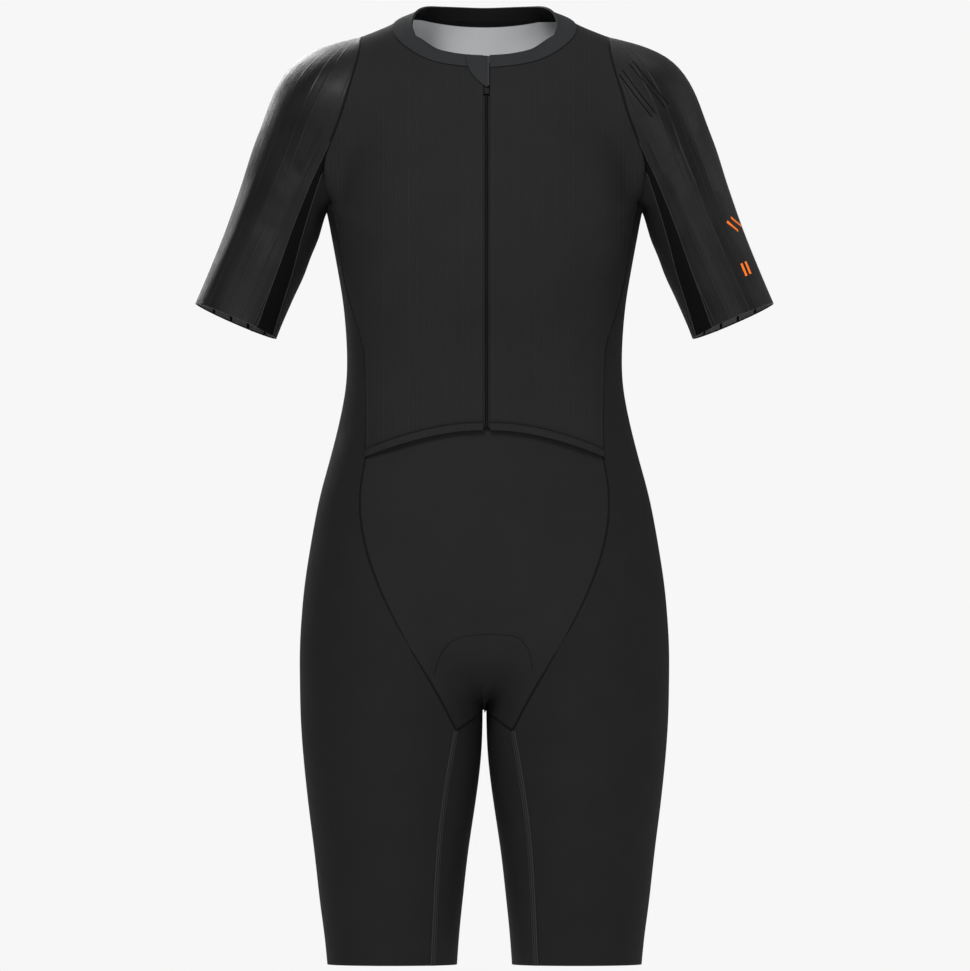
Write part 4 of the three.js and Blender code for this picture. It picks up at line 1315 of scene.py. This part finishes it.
class SUIT_OT_pads(bpy.types.Operator):
    """Seat pad behind the short front and the seat"""

    bl_idname = "suit.pads"
    bl_label = "Seat pad"

    def execute(self, context):
        for end in ("front", "back"):
            node = f"seat_pad_{end}"
            piece = smooth_copy(node, f"{node}_foam", 2, PAD_WALL_LIMIT)
            place_points(piece.data, fold(points_of(piece.data)))
            lay_grain(piece, "upright")
            paint_sides(piece, "pad", "pad")
            keep(piece, "pad", node)
        return {"FINISHED"}


class SUIT_OT_sleeves(bpy.types.Operator):
    """Ridged upper sleeves, mesh strips and under sleeves"""

    bl_idname = "suit.sleeves"
    bl_label = "Sleeves"

    def execute(self, context):
        for side in SIDES:
            dress_panel(f"sleeve_upper_{side}")
            dress_panel(f"sleeve_strip_{side}")
            dress_panel(f"sleeve_under_{side}")
        return {"FINISHED"}


class SUIT_OT_grippers(bpy.types.Operator):
    """Rubber gripper blocks on the elastic inside each cuff"""

    bl_idname = "suit.grippers"
    bl_label = "Cuff grippers"

    def execute(self, context):
        for side in SIDES:
            refinish(f"cuff_grip_{side}", "gripper")
        return {"FINISHED"}


class SUIT_OT_binding(bpy.types.Operator):
    """Neck binding"""

    bl_idname = "suit.binding"
    bl_label = "Neck binding"

    def execute(self, context):
        piece = dress_panel("neck_binding")
        place_points(piece.data, lean_in(points_of(piece.data)))
        return {"FINISHED"}


class SUIT_OT_zip(bpy.types.Operator):
    """Zip tape, coil, slider and the flap over the top of the zip"""

    bl_idname = "suit.zip"
    bl_label = "Zip"

    def execute(self, context):
        tape = dress_panel("zip_tape", "tape", 1)
        garage = dress_panel("zip_garage", "binding")
        refinish("zip_slider", "slider")
        # A light line along the flap's right edge: a painted highlight
        x, top, end, width, height = FLAP_HIGHLIGHT
        surface = surface_of(garage, PIECES["neck_binding_cloth"])
        line, facing, at = draped(surface, (x - width / 2, top), (x - width / 2, end))
        line[:, 0] = x
        seam = band_along(line, facing, at, width, height)
        finished_bands("flap_highlight", [seam], "piping", "binding")
        distance, width, height = ZIP_EDGE
        edges = []
        for side, sign in (("right", -1), ("left", 1)):
            x = ZIP_X + sign * (distance + width / 2)
            front = surface_of(PIECES[f"front_{side}_cloth"])
            line, facing, at = draped(front, (x, ZIP_TOP_Z), (x, ZIP_END_Z))
            line[:, 0] = ZIP_X + sign * distance
            edges.append(band_along(line, facing, at, width, height))
        finished_bands("zip_edges", edges, "jersey", "jersey_rib")
        self.lay_coil(tape)
        return {"FINISHED"}

    def lay_coil(self, tape):
        """One turn of the coil, copied down the tape and joined."""
        bpy.ops.object.select_all(action="DESELECT")
        bpy.ops.mesh.primitive_torus_add(
            major_segments=8,
            minor_segments=5,
            major_radius=COIL_RADIUS,
            minor_radius=COIL_THREAD,
        )
        turn = bpy.context.object
        turn.scale = COIL_STRETCH
        bpy.ops.object.transform_apply(location=False, rotation=False, scale=True)
        surface = surface_of(tape)
        pitch = settings().tooth_pitch
        turns = []
        for k in range(int((ZIP_TOP_Z - ZIP_END_Z) / pitch)):
            for side in (-1, 1):
                height = ZIP_TOP_Z - (k + 0.25 * side) * pitch
                place, _ = front_of(surface, ZIP_X + side * COIL_ACROSS, height)
                if place is None:
                    continue
                copy = new_object("turn", turn.data.copy())
                copy.location = place + Vector((0, -COIL_OUT, 0))
                copy.rotation_euler = (COIL_LEAN[0] * side, 0, COIL_LEAN[1] * side)
                turns.append(copy)
        bpy.data.objects.remove(turn)
        coil = joined("zip_coil", turns)
        only(coil)
        bpy.ops.object.transform_apply(location=True, rotation=True, scale=True)
        wear(coil, "coil")
        face_outwards(coil)
        keep(coil, "zip_tape")


class SUIT_OT_seams(bpy.types.Operator):
    """Stitched bands over the seams"""

    bl_idname = "suit.seams"
    bl_label = "Seams"

    def execute(self, context):
        for kind, (name, size, finish, slot_name) in BANDS.items():
            bands = []
            for first, second in SEAMS[kind]:
                for side in SIDES if "*" in first + second else ("",):
                    bands += seam_bands(first.replace("*", side), second.replace("*", side), size)
            if not bands:
                raise RuntimeError(f"no {kind} seam was found")
            finished_bands(name, bands, finish, slot_name)
        outline = draped(surface_of(PIECES["short_front_cloth"]), *(np.array(PAD_OUTLINE) * MM))
        finished_bands("pad_outline", [drawn(outline, PAD_LINE)], "faint", "side_knit")
        # Dark lines over the left sleeve's cap: painted shadow beside its ridges
        sleeve = surface_of(PIECES["sleeve_upper_left_cloth"])
        paths = [draped(sleeve, *(np.array(path) * MM)) for path in SHOULDER_LINES]
        lines = [drawn(path, SHOULDER_LINE) for path in paths]
        finished_bands("shoulder_lines", lines, "painted_shadow_line", "sleeve_knit")
        return {"FINISHED"}


class SUIT_OT_hem(bpy.types.Operator):
    """Edge lines of the jersey hem"""

    bl_idname = "suit.hem"
    bl_label = "Jersey hem"

    def execute(self, context):
        edges = [hem_edge(PIECES[f"front_hem_{side}_cloth"]) for side in SIDES]
        lines = [drawn(edge, HEM_LINE) for edge in edges]
        finished_bands("hem_lines", lines, "faint", "jersey_rib")
        return {"FINISHED"}


class SUIT_OT_print(bpy.types.Operator):
    """Plain printed bars on one sleeve"""

    bl_idname = "suit.print"
    bl_label = "Printed bars"

    def execute(self, context):
        surface = surface_of(PIECES["sleeve_upper_left_cloth"])
        bars = []
        for x0, z0, x1, z1 in PRINTED_BARS:
            edge = draped(surface, (x0 * MM, z0 * MM), (x1 * MM, z1 * MM), step=BAR_STEP)
            bars.append(drawn(edge, BAR))
        finished_bands("printed_bars", bars, "print", "sleeve_knit")
        return {"FINISHED"}


class SUIT_OT_stage(bpy.types.Operator):
    """Pale floor, soft studio light and the camera"""

    bl_idname = "suit.stage"
    bl_label = "Stage"

    def execute(self, context):
        bpy.ops.object.select_all(action="DESELECT")
        bpy.ops.mesh.primitive_plane_add(size=FLOOR_SIZE, location=(0, 0, FLOOR_Z))
        floor = context.object
        floor.name = "floor"
        paper = bpy.data.materials.new("Pale floor")
        paper.use_nodes = True
        shader = paper.node_tree.nodes["Principled BSDF"]
        shader.inputs["Base Color"].default_value = (0.9, 0.9, 0.9, 1)
        shader.inputs["Roughness"].default_value = 0.9
        floor.data.materials.append(paper)
        for name, place, size, power in LIGHTS:
            light = bpy.data.lights.new(name, "AREA")
            light.shape = "RECTANGLE"
            light.size, light.size_y = size
            light.energy = power
            lamp = new_object(name, light)
            lamp.location = place
            towards = Vector(LIGHTS_AIM) - Vector(place)
            lamp.rotation_euler = towards.to_track_quat("-Z", "Y").to_euler()
        world = bpy.data.worlds.new("Studio")
        world.use_nodes = True
        w = Wiring(world.node_tree)
        seen = w.nodes.new("ShaderNodeLightPath").outputs["Is Camera Ray"]
        bright, lit = STUDIO_BRIGHTNESS
        background = w.nodes["Background"].inputs
        background["Color"].default_value = (1, 1, 1, 1)
        w.link(w.math("MULTIPLY_ADD", seen, bright - lit, lit), background["Strength"])
        context.scene.world = world
        camera = bpy.data.cameras.new("camera")
        distance = settings().camera_distance
        camera.lens = camera.sensor_width * distance / (PICTURE_WIDTH * PICTURE_POINT)
        camera.clip_end = VIEW_END
        eye = new_object("camera", camera)
        eye.location = (PICTURE_CENTRE[0], -distance, PICTURE_CENTRE[1])
        eye.rotation_euler = (math.pi / 2, 0, 0)
        context.scene.camera = eye
        context.scene.view_settings.view_transform = "Standard"
        return {"FINISHED"}


class SUIT_PT_panel(bpy.types.Panel):
    bl_idname = "SUIT_PT_panel"
    bl_label = "Triathlon suit"
    bl_space_type = "VIEW_3D"
    bl_region_type = "UI"
    bl_category = "Suit"

    def draw(self, context):
        for name in SuitSettings.__annotations__:
            self.layout.prop(context.scene.suit, name)
        for operator in OPERATORS:
            self.layout.operator(operator.bl_idname)


OPERATORS = [
    SUIT_OT_fronts,
    SUIT_OT_back,
    SUIT_OT_sides,
    SUIT_OT_shorts,
    SUIT_OT_pads,
    SUIT_OT_sleeves,
    SUIT_OT_grippers,
    SUIT_OT_binding,
    SUIT_OT_zip,
    SUIT_OT_seams,
    SUIT_OT_hem,
    SUIT_OT_print,
    SUIT_OT_stage,
]


def register():
    for cls in (SuitSettings, *OPERATORS, SUIT_PT_panel):
        bpy.utils.register_class(cls)
    bpy.types.Scene.suit = bpy.props.PointerProperty(type=SuitSettings)


def unregister():
    del bpy.types.Scene.suit
    for cls in reversed((SuitSettings, *OPERATORS, SUIT_PT_panel)):
        bpy.utils.unregister_class(cls)


def main():
    register()
    for operator in OPERATORS:
        group, name = operator.bl_idname.split(".")
        getattr(getattr(bpy.ops, group), name)()


if __name__ == "__main__":
    main()
